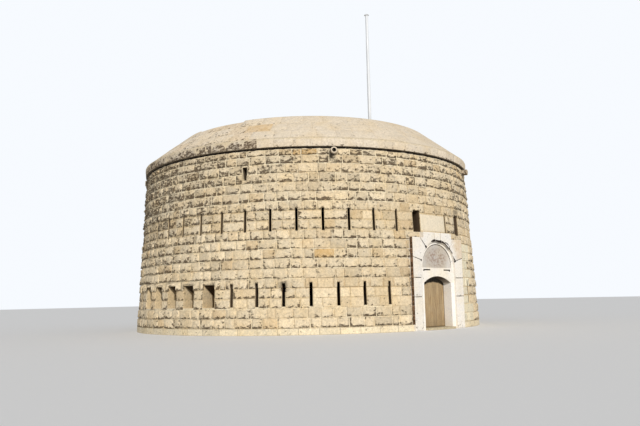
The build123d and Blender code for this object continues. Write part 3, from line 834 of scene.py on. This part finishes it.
def courseLevels():
    # equal courses above the footing, then lower ones that end under the cornice
    levels = wall["footing"] + wall["course"] * np.arange(wall["courses"] + 1)
    top = np.linspace(levels[-1], headLevel, wall["topCourses"] + 1)[1:] - (0, wall["shadowGap"])
    return np.concatenate((levels, top))


def besideOpening(cells, openings):
    # which stones touch the side of a hole in the wall
    bearing, half, sill, head = (np.array(part)[None, :] for part in zip(*openings))
    touches = np.zeros(len(cells["left"]), bool)
    levels = (cells["low"].min(axis=1)[:, None] < head) & (cells["high"].max(axis=1)[:, None] > sill)
    for edge, side in (("left", 1), ("right", -1)):
        off = cells[edge][:, None] - bearing - side * half / wall["faceRadius"]
        off = (off + math.pi) % (2 * math.pi) - math.pi
        touches |= (levels & (np.abs(off) < 0.006)).any(axis=1)
    return touches


def nearSpouts(degrees, aside, spread):
    # how near the closest spout is, measured a little to the left of each
    return np.max([near(degrees, spot - aside, spread) for spot in spouts["bearings"]], axis=0)


def wallStainAndShade(bearing, level):
    # painted shadow under the cornice, and dirt below every spout and round the head of the air hole
    degrees = np.degrees(bearing)
    reach, fade = dirtAndShade["cornice"]
    found = np.clip((level - headLevel + reach) / fade, 0, 1)
    share, aside, spread, fall = dirtAndShade["spouts"]
    below = (level < spoutLevel + 0.05) * np.exp(-((spoutLevel - level) / fall) ** 2)
    found = np.maximum(found, share * nearSpouts(degrees, aside, spread) * below)
    hole, width, sill, head = tower["airHole"]
    share, spread, above, fade = dirtAndShade["airHole"]
    overHole = share * near(degrees, hole, spread) * np.exp(-np.abs(level - head - above) / fade)
    return np.maximum(found, overHole)


def wallShade(bearing, level):
    # painted shade: black on the left below each spout, where its shadow and a stain fall together, and black
    # round the keyhole head of one loophole, for the hole's dark inside
    degrees, drop = np.degrees(bearing), spoutLevel - level
    aside, spread, length, fade = dirtAndShade["spoutShadeAndStain"]
    below = np.clip((drop + 0.02) / 0.08, 0, 1) * np.clip((length - drop) / fade, 0, 1)
    spoutShadeAndStain = nearSpouts(degrees, aside, spread) * below
    number, reach, low = tower["keyhole"]
    keyhole = near(degrees, math.degrees((number + 0.5) * pitch), reach)
    keyhole = keyhole * (level > low) * (level < lowerHead + 0.06)
    return 1 - dirtAndShade["black"] * np.maximum(spoutShadeAndStain, dirtAndShade["keyhole"] * keyhole)


def addWallStones():
    openings = wallOpenings()
    levels = courseLevels()
    bands = {band: [] for band, top in wall["bands"]}
    clearFrom, clearTo = (math.radians(x) for x in slab["clear"])
    for low, high in zip(levels, levels[1:]):
        stones = courseStones(low, high, openings)
        if low < shoulderLevel < high:
            for side in (-1, 1):
                ends = sorted(side * math.asin(x / wallRadius(low)) for x in (crownHalf + 0.01, portalHalf))
                stones.append((*ends, shoulderLevel + 0.01, upperSill - 0.01))
        if low > shoulderLevel and high < upperHead:
            stones = [stone for stone in stones if not clearFrom < (stone[0] + stone[1]) / 2 < clearTo]
        bands[next(band for band, top in wall["bands"] if high < top)] += stones
    for band, stones in bands.items():
        radius = wallRadius((stones[0][2] + stones[-1][3]) / 2)
        cells = cellArrays(stones, wall["columns"], radius)
        weatherTint(cells, (cells["low"][:, 0] + cells["high"][:, 0]) / 2)
        cells["calm"] = np.where(besideOpening(cells, openings) | cells["washed"], wall["calm"], 1.0)
        plain = np.array([len(stone) < 5 for stone in stones])[:, None]
        for side in ("low", "high"):
            uneven = chance.uniform(-wall["uneven"], wall["uneven"], (len(stones), 1))
            cells[side] = cells[side] + plain * uneven
        cells["high"] = np.minimum(cells["high"], headLevel - wall["shadowGap"])
        cells["stain"], cells["shade"] = wallStainAndShade, wallShade
        layStones(f"wall_stones_{band}", wallSurface, cells, wallLook, radius,
                  "bossedStone")
    print("rough wall stones:", sum(len(stones) for stones in bands.values()))


def addWalledUpLoop():
    stone = (math.radians(slab["left"]), math.radians(slab["right"]), slab["low"], slab["high"])
    cells = setTint(cellArrays([stone], 10, slab["radius"]), 1.0, 0.04, wash=0.35)
    layStones("walled_up_loophole", wallSurface, cells, slabLook, slab["radius"],
              "dressedStone")


def addCorniceShadowAndPlates():
    # a black ragged band of painted shadow under the cornice, and the dirty plates that the spouts come
    # through
    top, radius = headLevel - wall["shadowGap"], shadowBandAndPlates["radius"]
    cells = cellArrays(ringStones(shadowBandAndPlates["stones"], top - 0.015, headLevel - 0.002), 6, radius)
    cells["low"] = cells["low"] + shadowBandAndPlates["ragged"] * chance.random(cells["low"].shape)
    look = dict(shadowBandAndPlateLook, upward=(0, 0.3, 0.7, 1))
    layStones("shadow_band_under_cornice", wallSurface, cells, look, radius, "blackCrustAndShade")
    half = spouts["radius"] + spouts["slack"]
    plates = [around(math.radians(bearing), half / shadowBandAndPlates["plateRadius"], spoutLevel, half)
              for bearing in spouts["bearings"]]
    cells = setTint(cellArrays(plates, 8, radius), 0.95, 0.75)
    cells["high"] = np.minimum(cells["high"], top)
    cells["shade"] = wallShade
    look = dict(shadowBandAndPlateLook, boss=0.014)
    layStones("spout_plates", wallSurface, cells, look, radius, "bossedStone")


addWallStones()
addWalledUpLoop()
addCorniceShadowAndPlates()


cornice = {
    "lean": 0.025, "weathering": 0.116,  # how far the band leans out, and the slope starts inside the lip
    "lipLevel": 8.70, "lipDrop": 0.05,   # the lip is worn round
    "stones": 72, "slopeStones": (56, 51, 45), "copingStones": 50, "innerStones": 52,
    "margin": 0.012,                     # from a smooth stone's edge to its first column
    "slopeRadius": 8.1,                  # about the middle of the slope
    "crest": 7.036, "inner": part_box("gun_platform")[1].x,
    "wornDrop": 0.125, "wornMargin": 3.44,  # no coping so far beside the worn crest, in degrees
    "newStones": (-56.5, 62.0),          # between these bearings the cornice was made new
    "slopeLightLeft": (0.14, -85, 38),        # painted light: the slope is brighter on the left, which the sun leaves in shade: how much, bearing, spread
    "ochre": (0.6, -53.7, 3.4),          # ochre stones in its second course: how much, bearing, reach
    "drain": (-53.2, 0.10, 0.055),       # painted shade for the mouth of a drain: bearing, share of the slope, half width
    "drainRadius": 8.6,
}
corniceLook = {
    "joint": 0.008, "edge": 0.001, "flush": 0.004, "boss": 0.009, "tilt": 0.005, "rough": 0.0018,
    "rise": 0.014, "undercut": 1, "wobble": 0.005, "bite": 0.10, "dirtAndShade": 0.5, "bed": 0.01,
    "upward": (0, 0.04, 0.3, 0.62, 0.70, 0.78, 0.88, 1),
}
slopeLook = dict(corniceLook, boss=0.008, rough=0.0012, bite=0.05, dirtAndShade=0.25,
                 upward=(0, 0.03, 0.35, 0.68, 0.97, 1))
copingLook = dict(slopeLook, boss=0.006, bed=0.004, upward=(0, 0.06, 0.5, 0.94, 1))


def smoothCells(stones, columns, radius, strength, plain):
    # the left part of the cornice kept its old stones, grey and worn; the rest was made new
    cells = cellArrays(stones, columns, radius, margin=cornice["margin"])
    middle = wrapped(np.degrees((cells["left"] + cells["right"]) / 2))
    newFrom, newTo = cornice["newStones"]
    old = ((middle < newFrom) | (middle > newTo)).astype(float)
    count = len(old)
    setTint(cells, chance.uniform(0.93, 1.04, count) - 0.15 * old * chance.random(count),
            plain + old * strength * chance.uniform(0.3, 1.1, count),
            0.25 * old * (chance.random(count) < 0.25))
    cells["wear"] = 0.6 + 1.6 * old
    return cells, middle


def laySmooth(name, surface, cells, look, radius):
    layStones(name, surface, cells, look, radius, "dressedStone")


def isWorn(stone, slack=0.0):
    # whether the stone's middle lies where the crest is worn
    low, high = tower["wornCrest"]
    return low - slack < wrapped(math.degrees((stone[0] + stone[1]) / 2)) < high + slack


def addParapetStones(crestLevel):
    # coping stones on the crest, with their own joints, and the courses of the parapet's inner face
    inner = cornice["inner"] + 0.004
    stones = ringStones(cornice["copingStones"], inner, cornice["crest"] - 0.03, start=0.02)
    stones = [stone for stone in stones if not isWorn(stone, cornice["wornMargin"])]
    cells = smoothCells(stones, 6, inner, 0.3, 0.1)[0]
    laySmooth("crest_coping", pavedSurface(crestLevel - 0.004), cells, copingLook, inner)
    levels = np.linspace(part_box("gun_platform")[1].z, crestLevel - 0.15, 4)
    stones = [stone for low, high in zip(levels, levels[1:])
              for stone in ringStones(cornice["innerStones"], low, high, start=chance.uniform(0, 0.1))]
    cells = smoothCells(stones, 6, inner, 0.3, 0.1)[0]
    laySmooth("parapet_inner_stones", insideFace, cells, dict(copingLook, boss=0.01), inner)


def addCornice():
    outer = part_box("cornice_right")[1].x
    low, top = headLevel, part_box("cornice_right")[1].z
    lipLevel, drop = cornice["lipLevel"], cornice["lipDrop"]
    foot, slopeFoot = outer - cornice["lean"], outer - cornice["weathering"]
    # the corner of the lip is taken off in three short steps
    profile = [(foot, low), (outer - 0.008, lipLevel - drop), (outer - 0.012, lipLevel - drop * 0.35),
               (outer - 0.030, lipLevel + 0.004), (slopeFoot, top)]
    surface, length = profileSurface(profile)
    cells = smoothCells(ringStones(cornice["stones"], 0.0, length), 8, outer, 1.0, 0.06)[0]
    laySmooth("cornice_stones", surface, cells, corniceLook, outer)

    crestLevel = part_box("parapet_right")[1].z
    surface, length = profileSurface([(slopeFoot, top), (cornice["crest"], crestLevel)])
    wornShare = (crestLevel - cornice["wornDrop"] - top) / (crestLevel - top)
    stones = []
    for course, count in enumerate(cornice["slopeStones"]):
        for stone in ringStones(count, length * course / 3, length * (course + 1) / 3, start=course * 0.05):
            stones.append((*stone[:3], length * wornShare) if course == 2 and isWorn(stone) else stone)
    radius = cornice["slopeRadius"]
    cells, middle = smoothCells(stones, 8, radius, 0.3, 0.05)
    share, bearing, reach = cornice["ochre"]
    second = (cells["low"][:, 0] > length * 0.3) * (cells["low"][:, 0] < length * 0.6)
    ochre = np.clip(cells["tint"][:, 2] + share * (np.abs(middle - bearing) < reach) * second, 0, 1)
    # painted light on the left of the slope
    pale, bearing, spread = cornice["slopeLightLeft"]
    bright = chance.uniform(0.96, 1.04, len(stones)) + pale * near(middle, bearing, spread)
    setTint(cells, bright, cells["tint"][:, 1], ochre)
    laySmooth("parapet_slope_stones", surface, cells, slopeLook, radius)
    # the drain's mouth is a patch of painted shade
    bearing, share, half = cornice["drain"]
    radius = cornice["drainRadius"]
    hole = around(math.radians(bearing), half / radius, length * share, half)
    layStones("drain_mouth", surface, cellArrays([hole], 8, radius, margin=0.01),
              dict(slopeLook, boss=0.012, wobble=0.03, joint=0), radius, "blackCrustAndShade")
    addParapetStones(crestLevel)
    print("cornice and slope stones made")


addCornice()


portal = {
    "joints": (14.5, 46.5, 81.0),  # turns of the arch joints above the springing, in degrees
    "levels": (1.52, 2.39),        # jamb joints
    "jointHalf": 0.014,
    "columns": 10, "margin": 0.02,
    "archRadius": 1.5,             # about the middle of the arch stones
    "wornShoulder": (0.55, 1.45, 3.3, 0.4, 0.12),  # strength, the edge's X at a level, lean, fade
}
portalLook = {
    "joint": 0.0, "edge": 0.001, "flush": 0.0, "boss": 0.006, "tilt": 0.002, "rough": 0.0012,
    "rise": 0.018, "undercut": 1, "wobble": 0.004, "bite": 0.07, "dirtAndShade": 0.25, "bed": 0.004,
    "upward": (0, 0.03, 0.15, 0.5, 0.85, 0.97, 1),
}


def outlineDistance(turn):
    # how far the square-cut outline of the portal lies from the middle of the arch, on that turn
    side = portalHalf / np.maximum(np.cos(turn), 1e-3)
    shoulder = (shoulderLevel - springing) / np.maximum(np.sin(turn), 1e-3)
    crownSide = crownHalf / np.maximum(np.abs(np.cos(turn)), 1e-3)
    crownTop = (portalTop - springing) / np.maximum(np.sin(turn), 1e-3)
    return np.maximum(np.minimum(side, shoulder), np.minimum(crownSide, crownTop))


def wornShoulder(turn, reach):
    # the limewash is gone from the right shoulder, outside a line that leans out as it comes down
    strength, edge, middle, lean, fade = portal["wornShoulder"]
    across, level = reach * np.cos(turn), springing + reach * np.sin(turn)
    return strength * np.clip((across + lean * (level - middle) - edge) / fade, 0, 1)


def portalCells(stones, scale):
    return cellArrays(stones, portal["columns"], scale, margin=portal["margin"])


def archCells(start, end):
    # one arch stone between two turns in degrees, with a column on each corner of the outline
    start, end = np.radians((start, end))
    cells = portalCells([(start, end, bayHalf + 0.002, 2.0)], portal["archRadius"])
    corners = np.arctan2((shoulderLevel - springing, shoulderLevel - springing, portalTop - springing),
                         (portalHalf, crownHalf, crownHalf))
    share = (corners - start) / (end - start)
    for value in share[(share > 0.03) & (share < 0.97)]:
        cells["across"][0, np.argmin(np.abs(cells["across"][0] - value))] = value
    cells["high"] = outlineDistance(start + (end - start) * cells["across"]) - 0.002
    return cells


def addPortalStones():
    half, scale = portal["jointHalf"], portal["archRadius"]
    low, high = portal["levels"]
    first, second, last = portal["joints"]
    gap = math.degrees(half / scale)
    pieces = []
    for side, name in ((-1, "left"), (1, "right")):
        cells = portalCells([(bayHalf + 0.002, portalHalf - 0.002, 0.004, low - half),
                             (bayHalf + 0.002, portalHalf - 0.002, low + half, high - half)], 1.0)
        pieces.append((f"portal_jamb_stones_{name}", frontSurface(portalFront, side), cells, 1.0))
        cells = portalCells([(0.0, 1.0, high + half, springing)], 0.6)
        reach = bayHalf + (portalHalf - bayHalf) * cells["across"]
        cells["high"] = springing + reach * math.tan(math.radians(first)) - half * 1.05
        pieces.append((f"portal_springer_{name}", springerSurface(portalFront, side), cells, 0.6))
        for start, end in ((first, second), (second, last)):
            pieces.append((f"portal_voussoir_{int(start)}_{name}", archSurface(portalFront, side),
                           archCells(start + gap, end - gap), scale))
    cells = archCells(last + gap, 180 - last - gap)
    pieces.append(("portal_keystone", archSurface(portalFront), cells, scale))
    for name, surface, cells, size in pieces:
        count = len(cells["left"])
        setTint(cells, chance.uniform(0.98, 1.02, count), chance.uniform(0.0, 0.12, count))
        if "voussoir" in name and name.endswith("right"):
            cells["ochre"] = wornShoulder
        layStones(name, surface, cells, portalLook, size, "limewashStones")
    print("portal stones:", len(pieces))


flank = {"strip": 0.17, "inmost": 8.55}  # width of the dark arris, and where the first stones start at most
flankLook = dict(wallLook, boss=0.012, tilt=0.03, rise=0.02, undercut=0.5, bite=0.1, flush=0.008)
crustAndShade = {
    # strips of black crust round the arch: turn in degrees, inner and outer radius in metres
    "strips": (
        ((65, 1.245, 1.305), (70, 1.230, 1.320), (78, 1.220, 1.330), (81, 1.175, 1.320), (84, 1.210, 1.310),
         (88, 1.185, 1.300), (92, 1.230, 1.310), (98, 1.240, 1.335), (104, 1.250, 1.360), (109, 1.260, 1.355),
         (114, 1.285, 1.325)),
        ((45, 1.270, 1.320), (48, 1.315, 1.365), (54, 1.335, 1.390), (61, 1.330, 1.385), (66, 1.275, 1.335)),
        ((44, 1.245, 1.295), (50, 1.215, 1.278), (56, 1.225, 1.278), (61, 1.225, 1.280), (66, 1.240, 1.310)),
        ((32, 1.266, 1.295), (36, 1.262, 1.302), (41, 1.258, 1.306), (45, 1.250, 1.310)),
        ((12, 1.262, 1.310), (16, 1.260, 1.355), (20, 1.262, 1.335), (24, 1.264, 1.330), (27, 1.272, 1.305)),
    ),
    # a thin dark line round the sunk field, partly painted shade: turn, inner and outer radius
    "fieldEdge": ((7, 1.086, 1.096), (20, 1.086, 1.112), (50, 1.086, 1.120), (75, 1.086, 1.114),
                  (110, 1.086, 1.108), (140, 1.086, 1.098), (160, 1.086, 1.092)),
    "ragged": 0.006, "fieldRagged": 0.003,
    "joints": ((14.5, 1.85, 0.010), (165.5, 1.8, 0.010), (133.5, 1.72, 0.015)),  # turn, end, half width
    "blobs": ((133.5, 1.32, 0.075), (165.5, 1.33, 0.05), (14.5, 1.33, 0.055)),   # painted shade where the joints meet the arch's edge: turn, radius, half width
    "slots": ((-0.985, 2.742, 0.046), (0.935, 2.738, 0.050)),                    # dark blots at the slots' outer ends: x, level, half width
    "lines": (1.53, 0.20, 0.012),  # in the jamb joints: middle, half length, half height
}
crustAndShadeLook = dict(portalLook, boss=0.008, rough=0.002, bite=0.0, rise=0.008, edge=0.001)


def addFlankStones():
    # the wall's own rough courses run on over the portal's sides and stop short of its white arris
    inner = math.sqrt(wallRadius(0) ** 2 - portalHalf ** 2) - 0.12
    levels = [level for level in courseLevels() if level < shoulderLevel - 0.05] + [shoulderLevel - 0.004]
    courses = list(zip(levels, levels[1:]))
    count, turn = len(courses), portalFront - flank["strip"]
    for side, name in ((-1, "left"), (1, "right")):
        cells = cellArrays([(max(inner - batter * low - 0.15, flank["inmost"]), turn, low, high)
                            for low, high in courses], 8, 1.0, margin=0.03)
        setTint(cells, chance.uniform(0.9, 1.05, count), 0.25 + 0.2 * chance.random(count))
        layStones(f"portal_flank_stones_{name}", flankSurface(side), cells, flankLook, 1.0,
                  "bossedStone")
        cells = cellArrays([(turn, portalFront - 0.006, low, high) for low, high in courses],
                           6, 1.0, margin=0.015)
        setTint(cells, chance.uniform(0.75, 1.05, count), 0.6 + 0.4 * chance.random(count))
        layStones(f"portal_flank_arris_{name}", flankSurface(side), cells,
                  dict(flankLook, joint=0.004, wobble=0.004), 1.0, "darkArrisStone")


def raggedStrip(points, columns, ragged):
    # one long stone whose inner and outer edge follow the given radii, with a ragged rim
    turns, inner, outer = (np.array(part) for part in zip(*points))
    across = np.linspace(0, 1, columns)
    turn = turns[0] + (turns[-1] - turns[0]) * across
    low = np.interp(turn, turns, inner) - ragged * chance.random(columns)
    high = np.interp(turn, turns, outer) + ragged * chance.random(columns)
    return (math.radians(turns[0]), math.radians(turns[-1]), low[0], high[0], (across, low, high))


def addCrustAndShade():
    # on the portal: broken black crust along the arch's edge, dark lines in the joints, painted shade where
    # the open joints meet the arch's edge, dark blots at the slots' ends, and a thin line round the sunk
    # field that is partly painted shade
    blots = []
    for turn, end, half in crustAndShade["joints"]:
        middle, reach = math.radians(turn), half / portal["archRadius"]
        blots.append((middle - reach, middle + reach, bayHalf, end))
    blots += [around(math.radians(turn), half / radius, radius, half)
              for turn, radius, half in crustAndShade["blobs"]]
    middle, halfLong, halfHigh = crustAndShade["lines"]
    lines = [around(side * middle, halfLong, level, halfHigh)
             for side in (-1, 1) for level in portal["levels"]]
    slots = [around(x, half, z, half) for x, z, half in crustAndShade["slots"]]
    strips = [raggedStrip(points, 40, crustAndShade["ragged"]) for points in crustAndShade["strips"]]
    edge = [raggedStrip(crustAndShade["fieldEdge"], 100, crustAndShade["fieldRagged"])]
    arch, field = archSurface(portalFront), archSurface(-panelFront - 0.001)
    for name, surface, stones, columns, scale, wobble in (
            ("portal_joint_crust", frontSurface(portalFront - 0.002), lines, 8, 1.0, 0.008),
            ("portal_arch_joints_and_shade", arch, blots, 8, 1.3, 0.024),
            ("portal_black_crust", arch, strips, 40, 1.3, 0.004),
            ("slot_end_blots", frontSurface(-panelFront - 0.002), slots, 8, 1.0, 0.008),
            ("sunk_field_dark_edge", field, edge, 100, 1.1, 0.001)):
        cells = cellArrays(stones, columns, scale, margin=portal["margin"])
        layStones(name, surface, cells, dict(crustAndShadeLook, wobble=wobble), scale, "blackCrustAndShade")


addPortalStones()
addFlankStones()
addCrustAndShade()


door = {
    "boards": 7,
    "lap": 0.060,                # how far the leaf's head reaches behind the doorway's arch
    "meeting": 0.007,            # half the gap between the leaves
    "outer": 1.050, "foot": 0.112,
    "crownRise": 0.305,          # of the doorway's arch over its springing
    "ledges": (0.26, 1.12, 1.90), "ledgeHigh": 0.13, "ledgeThick": 0.038, "ledgeSetIn": 0.05,
    "headShade": 0.10,           # painted shadow of the arch: the boards are nearly black under it
    "shadeAcross": 0.229, "shadeDown": 0.317,  # how far the painted shadow of the arch is moved to the right and down
    "cheekShade": (0.35, 0.03),  # painted shade in the corner beside the cheek: shade, width
    "studRadius": 0.009, "studProud": 0.005, "studInset": 0.008, "studSides": 8,
}
boardLook = {
    "joint": 0.006, "edge": 0.0, "flush": 0.0, "boss": 0.0036, "tilt": 0.0, "rough": 0.0003,
    "rise": 0.006, "undercut": 1, "wobble": 0.0, "bite": 0.0, "dirtAndShade": 0.0, "bed": 0.050,
    "upward": (0, 0.02, 0.3, 0.6, 0.70, 0.74, 0.78, 0.81, 0.83, 0.85, 0.87, 0.89, 0.91, 0.94, 0.98, 1),
}
ledgeLook = dict(boardLook, bed=door["ledgeThick"], boss=0.0001, edge=0.0001, joint=0.0)


def leafHead(across):
    # the leaf's head follows the doorway's low arch and laps behind its edge
    radius = (doorHalf ** 2 + door["crownRise"] ** 2) / (2 * door["crownRise"])
    middle = doorSpringing + door["crownRise"] - radius
    reach = radius + door["lap"]
    return middle + np.sqrt(np.maximum(reach ** 2 - across ** 2, 0))


def addLeaf(side, name):
    body = f"{name}_leaf"
    edges = np.linspace(door["meeting"], door["outer"], door["boards"] + 1)
    front = leafFront - 0.005
    cells = cellArrays([(a, b, door["foot"] + 0.002, 1.0) for a, b in zip(edges, edges[1:])],
                       6, 1.0, margin=0.008)
    across = cells["left"][:, None] + (cells["right"] - cells["left"])[:, None] * cells["across"]
    cells["high"] = leafHead(across) - 0.003
    setTint(cells, chance.uniform(0.86, 1.12, door["boards"]), 0)

    # painted shadow of the arch over the boards' upper part, and painted shade along the cheek
    def shade(x, level):
        cheek, width = door["cheekShade"]
        paintedShadow = level > leafHead(x - door["shadeAcross"] * side) - door["shadeDown"]
        return np.where(paintedShadow, door["headShade"], np.where(x > doorHalf - width, cheek, 1.0))

    cells["shade"] = shade
    boards = layStones(f"door_boards_{name}", frontSurface(front, side), cells, boardLook, 1.0,
                       "faceBoards", body)
    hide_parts(f"door_leaf_{name}")
    back = front - boardLook["bed"] - 0.0005
    wide = (door["meeting"] + door["ledgeSetIn"], door["outer"] - door["ledgeSetIn"])
    ledges = [(*wide, low, low + door["ledgeHigh"]) for low in door["ledges"]]
    cells = setTint(cellArrays(ledges, 6, 1.0, margin=0.01), 0.95, 0)
    layStones(f"door_ledges_{name}", frontSurface(back, side), cells, ledgeLook, 1.0,
              "faceBoards", body)
    addStuds(side, name, edges, front)


def addStuds(side, name, edges, front):
    # two nail heads to each board at each ledge: low eight-sided domes
    across = np.concatenate([edges[:-1] + np.diff(edges) * share for share in (0.27, 0.73)])
    levels = np.array(door["ledges"]) + door["ledgeHigh"] / 2
    x, z = (part.reshape(-1, 1) for part in np.meshgrid(across, levels))
    sides, size = door["studSides"], door["studRadius"]
    turn = np.arange(sides) * 2 * math.pi / sides
    rings = ((1.0, -door["studInset"]), (1.0, 0.002), (0.7, door["studProud"] * 0.8))
    flat = frontSurface(front, side)
    points = [flat(x + size * share * np.cos(turn), z + size * share * np.sin(turn), rise)
              for share, rise in rings]
    ring = np.arange(sides)
    after = np.roll(ring, -1)
    band = np.stack((ring, after, after + sides, ring + sides), -1)
    faces = np.concatenate((band, band + sides))
    caps = np.stack((ring[::-1], ring + 2 * sides))
    if side < 0:
        faces, caps = faces[:, ::-1], caps[:, ::-1]
    first = (np.arange(len(x)) * len(rings) * sides)[:, None, None]
    mesh = meshFromArrays(f"door_studs_{name}", np.stack(points, 1).reshape(-1, 3),
                          (first + faces).reshape(-1, 4), (first + caps).reshape(-1, sides))
    addPiece(mesh, "iron", f"{name}_leaf")


addLeaf(1, "right")
addLeaf(-1, "left")
print("door leaves made")


def addSpouts():
    # each spout is one outline turned about its own axis, with a rounded rim, and lies along a radius
    radius, bore = spouts["radius"] - 0.001, spouts["bore"] + 0.001
    sides, rim, face = spouts["sides"], spouts["rim"], wallRadius(spoutLevel)
    turns = np.arange(sides) * 2 * math.pi / sides
    outline = np.array((radius, radius, radius - 0.3 * rim, radius - 0.8 * rim, radius - 1.6 * rim,
                        bore + rim, bore + 0.3 * rim, bore, bore))
    rows = len(outline)
    points, quads = [], []
    for number, (bearing, reach) in enumerate(zip(spouts["bearings"], spouts["reaches"])):
        end = face + reach - 0.001
        along = np.array((face - spouts["bed"], end - 2 * rim, end - rim, end - 0.4 * rim, end, end,
                          end - 0.5 * rim, end - 1.5 * rim, face - spouts["bed"]))
        rough = spouts["chips"][min(number, 1)]
        chips = 1 + rough * chance.normal(size=(rows, sides)) * (along > face)[:, None]
        across = np.clip(outline[:, None] * chips, bore, radius)
        spin = math.radians(bearing)
        sideways, upward = across * np.cos(turns), across * np.sin(turns)
        x = along[:, None] * math.sin(spin) + sideways * math.cos(spin)
        y = -along[:, None] * math.cos(spin) + sideways * math.sin(spin)
        points.append(np.stack((x, y, spoutLevel + upward), -1).reshape(-1, 3))
        below = np.arange(rows * sides).reshape(rows, sides) + number * rows * sides
        above = np.roll(below, -1, axis=0)
        corners = (below, np.roll(below, -1, axis=1), np.roll(above, -1, axis=1), above)
        quads.append(np.stack(corners, -1).reshape(-1, 4))
    # darker outside behind the rim, and painted shade in the bore
    body = (along < end - 1.6 * rim) & (outline > bore + rim)
    bright = np.where(outline <= bore + 0.3 * rim, 0.12, 0.95)
    tint = np.stack((bright, np.where(body, 1.0, 0.1), np.full(rows, 0.05), np.zeros(rows)), -1)
    tints = np.tile(np.repeat(tint, sides, axis=0), (len(points), 1))
    mesh = meshFromArrays("turned_spouts", np.concatenate(points), np.concatenate(quads),
                          np.empty((0, 3), int), tints)
    piece = addPiece(mesh, "dressedStone", "tower")
    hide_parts("spouts")


addSpouts()


platform = {"ringWidth": 0.8, "stoneLength": 1.0, "middle": 0.35, "radius": 4.0}
platformLook = dict(slopeLook, joint=0.014, bed=0.004, boss=0.008, upward=(0, 0.03, 0.5, 0.97, 1))


def addPlatformStones():
    # flagstones in rings
    top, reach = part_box("gun_platform")[1].z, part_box("gun_platform")[1].x - 0.01
    edges = np.linspace(platform["middle"], reach, round(reach / platform["ringWidth"]) + 1)
    stones = []
    for inner, outer in zip(edges, edges[1:]):
        ring = max(5, round(math.pi * (inner + outer) / platform["stoneLength"]))
        stones += ringStones(ring, inner, outer, start=chance.uniform(0, 1))
    cells, count = cellArrays(stones, 6, platform["radius"], margin=0.02), len(stones)
    setTint(cells, chance.uniform(0.88, 1.08, count), chance.uniform(0, 0.3, count),
            0.15 * chance.random(count))
    layStones("platform_stones", pavedSurface(top), cells, platformLook, platform["radius"],
              "pavingStones")
    print("platform stones:", count)


addPlatformStones()


view = {
    "bearing": -41.1,            # where the photo was taken from, round the tower
    "distance": 37.62, "height": 1.5, "yaw": 1.146, "pitch": 7.552, "roll": -1.198,
    "focal": 651.4 / 640,        # focal length over the picture's width
    "sunTurn": -27.0, "sunHeight": 27.0, "sunStrength": 2.5, "sunAngle": 1.6, "sky": 0.38,
    "floorReach": 260,
}


def addStage():
    reach = view["floorReach"]
    mesh = bpy.data.meshes.new("studioFloor")
    corners = ((-1, -1), (1, -1), (1, 1), (-1, 1))
    mesh.from_pydata([(x * reach, y * reach, 0) for x, y in corners], [], [(0, 1, 2, 3)])
    floor = bpy.data.objects.new("studioFloor", mesh)
    bpy.context.scene.collection.objects.link(floor)
    material, _, surface = newMaterial("paleFloor")
    feed(surface, {"Base Color": (0.82, 0.82, 0.82, 1), "Roughness": 0.9})
    mesh.materials.append(material)


def addLight():
    # one low sun, and a pale sky that the camera sees brighter than it lights
    lamp = bpy.data.lights.new("sun", "SUN")
    lamp.energy = view["sunStrength"]
    lamp.angle = math.radians(view["sunAngle"])
    lamp.color = (1.0, 0.975, 0.94)
    sun = bpy.data.objects.new("sun", lamp)
    bpy.context.scene.collection.objects.link(sun)
    turn, height = math.radians(view["sunTurn"]), math.radians(view["sunHeight"])
    flat = math.cos(height)
    towards = Vector((math.sin(turn) * flat, -math.cos(turn) * flat, math.sin(height)))
    sun.rotation_euler = towards.to_track_quat("Z", "Y").to_euler()
    world = bpy.data.worlds.new("paleSky")
    bpy.context.scene.world = world
    world.use_nodes = True
    seen = addNode(world.node_tree, "LightPath", {}).outputs["Is Camera Ray"]
    feed(world.node_tree.nodes["Background"],
         {"Color": (0.93, 0.96, 1.0, 1), "Strength": remap(seen, 0, 1, view["sky"], 1.0)})


def addCamera():
    # the photo's camera: yaw, pitch and roll about the line to the tower's axis
    yaw, pitchUp, roll = (math.radians(view[key]) for key in ("yaw", "pitch", "roll"))
    flat = math.cos(pitchUp)
    forward = Vector((math.sin(yaw) * flat, math.cos(yaw) * flat, math.sin(pitchUp)))
    right = Vector((math.cos(yaw), -math.sin(yaw), 0))
    up = right.cross(forward)
    leanRight = right * math.cos(roll) + up * math.sin(roll)
    leanUp = up * math.cos(roll) - right * math.sin(roll)
    turn = Matrix.Rotation(math.radians(view["bearing"]), 3, "Z")
    axes = turn @ Matrix((leanRight, leanUp, -forward)).transposed()
    data = bpy.data.cameras.new("photoCamera")
    data.sensor_width = 36
    data.lens = data.sensor_width * view["focal"]
    data.clip_end = 1000
    camera = bpy.data.objects.new("photoCamera", data)
    bpy.context.scene.collection.objects.link(camera)
    spot = turn @ Vector((0, -view["distance"], view["height"]))
    camera.matrix_world = Matrix.Translation(spot) @ axes.to_4x4()
    bpy.context.scene.camera = camera


addStage()
addLight()
addCamera()
bpy.context.scene.view_settings.view_transform = "Standard"
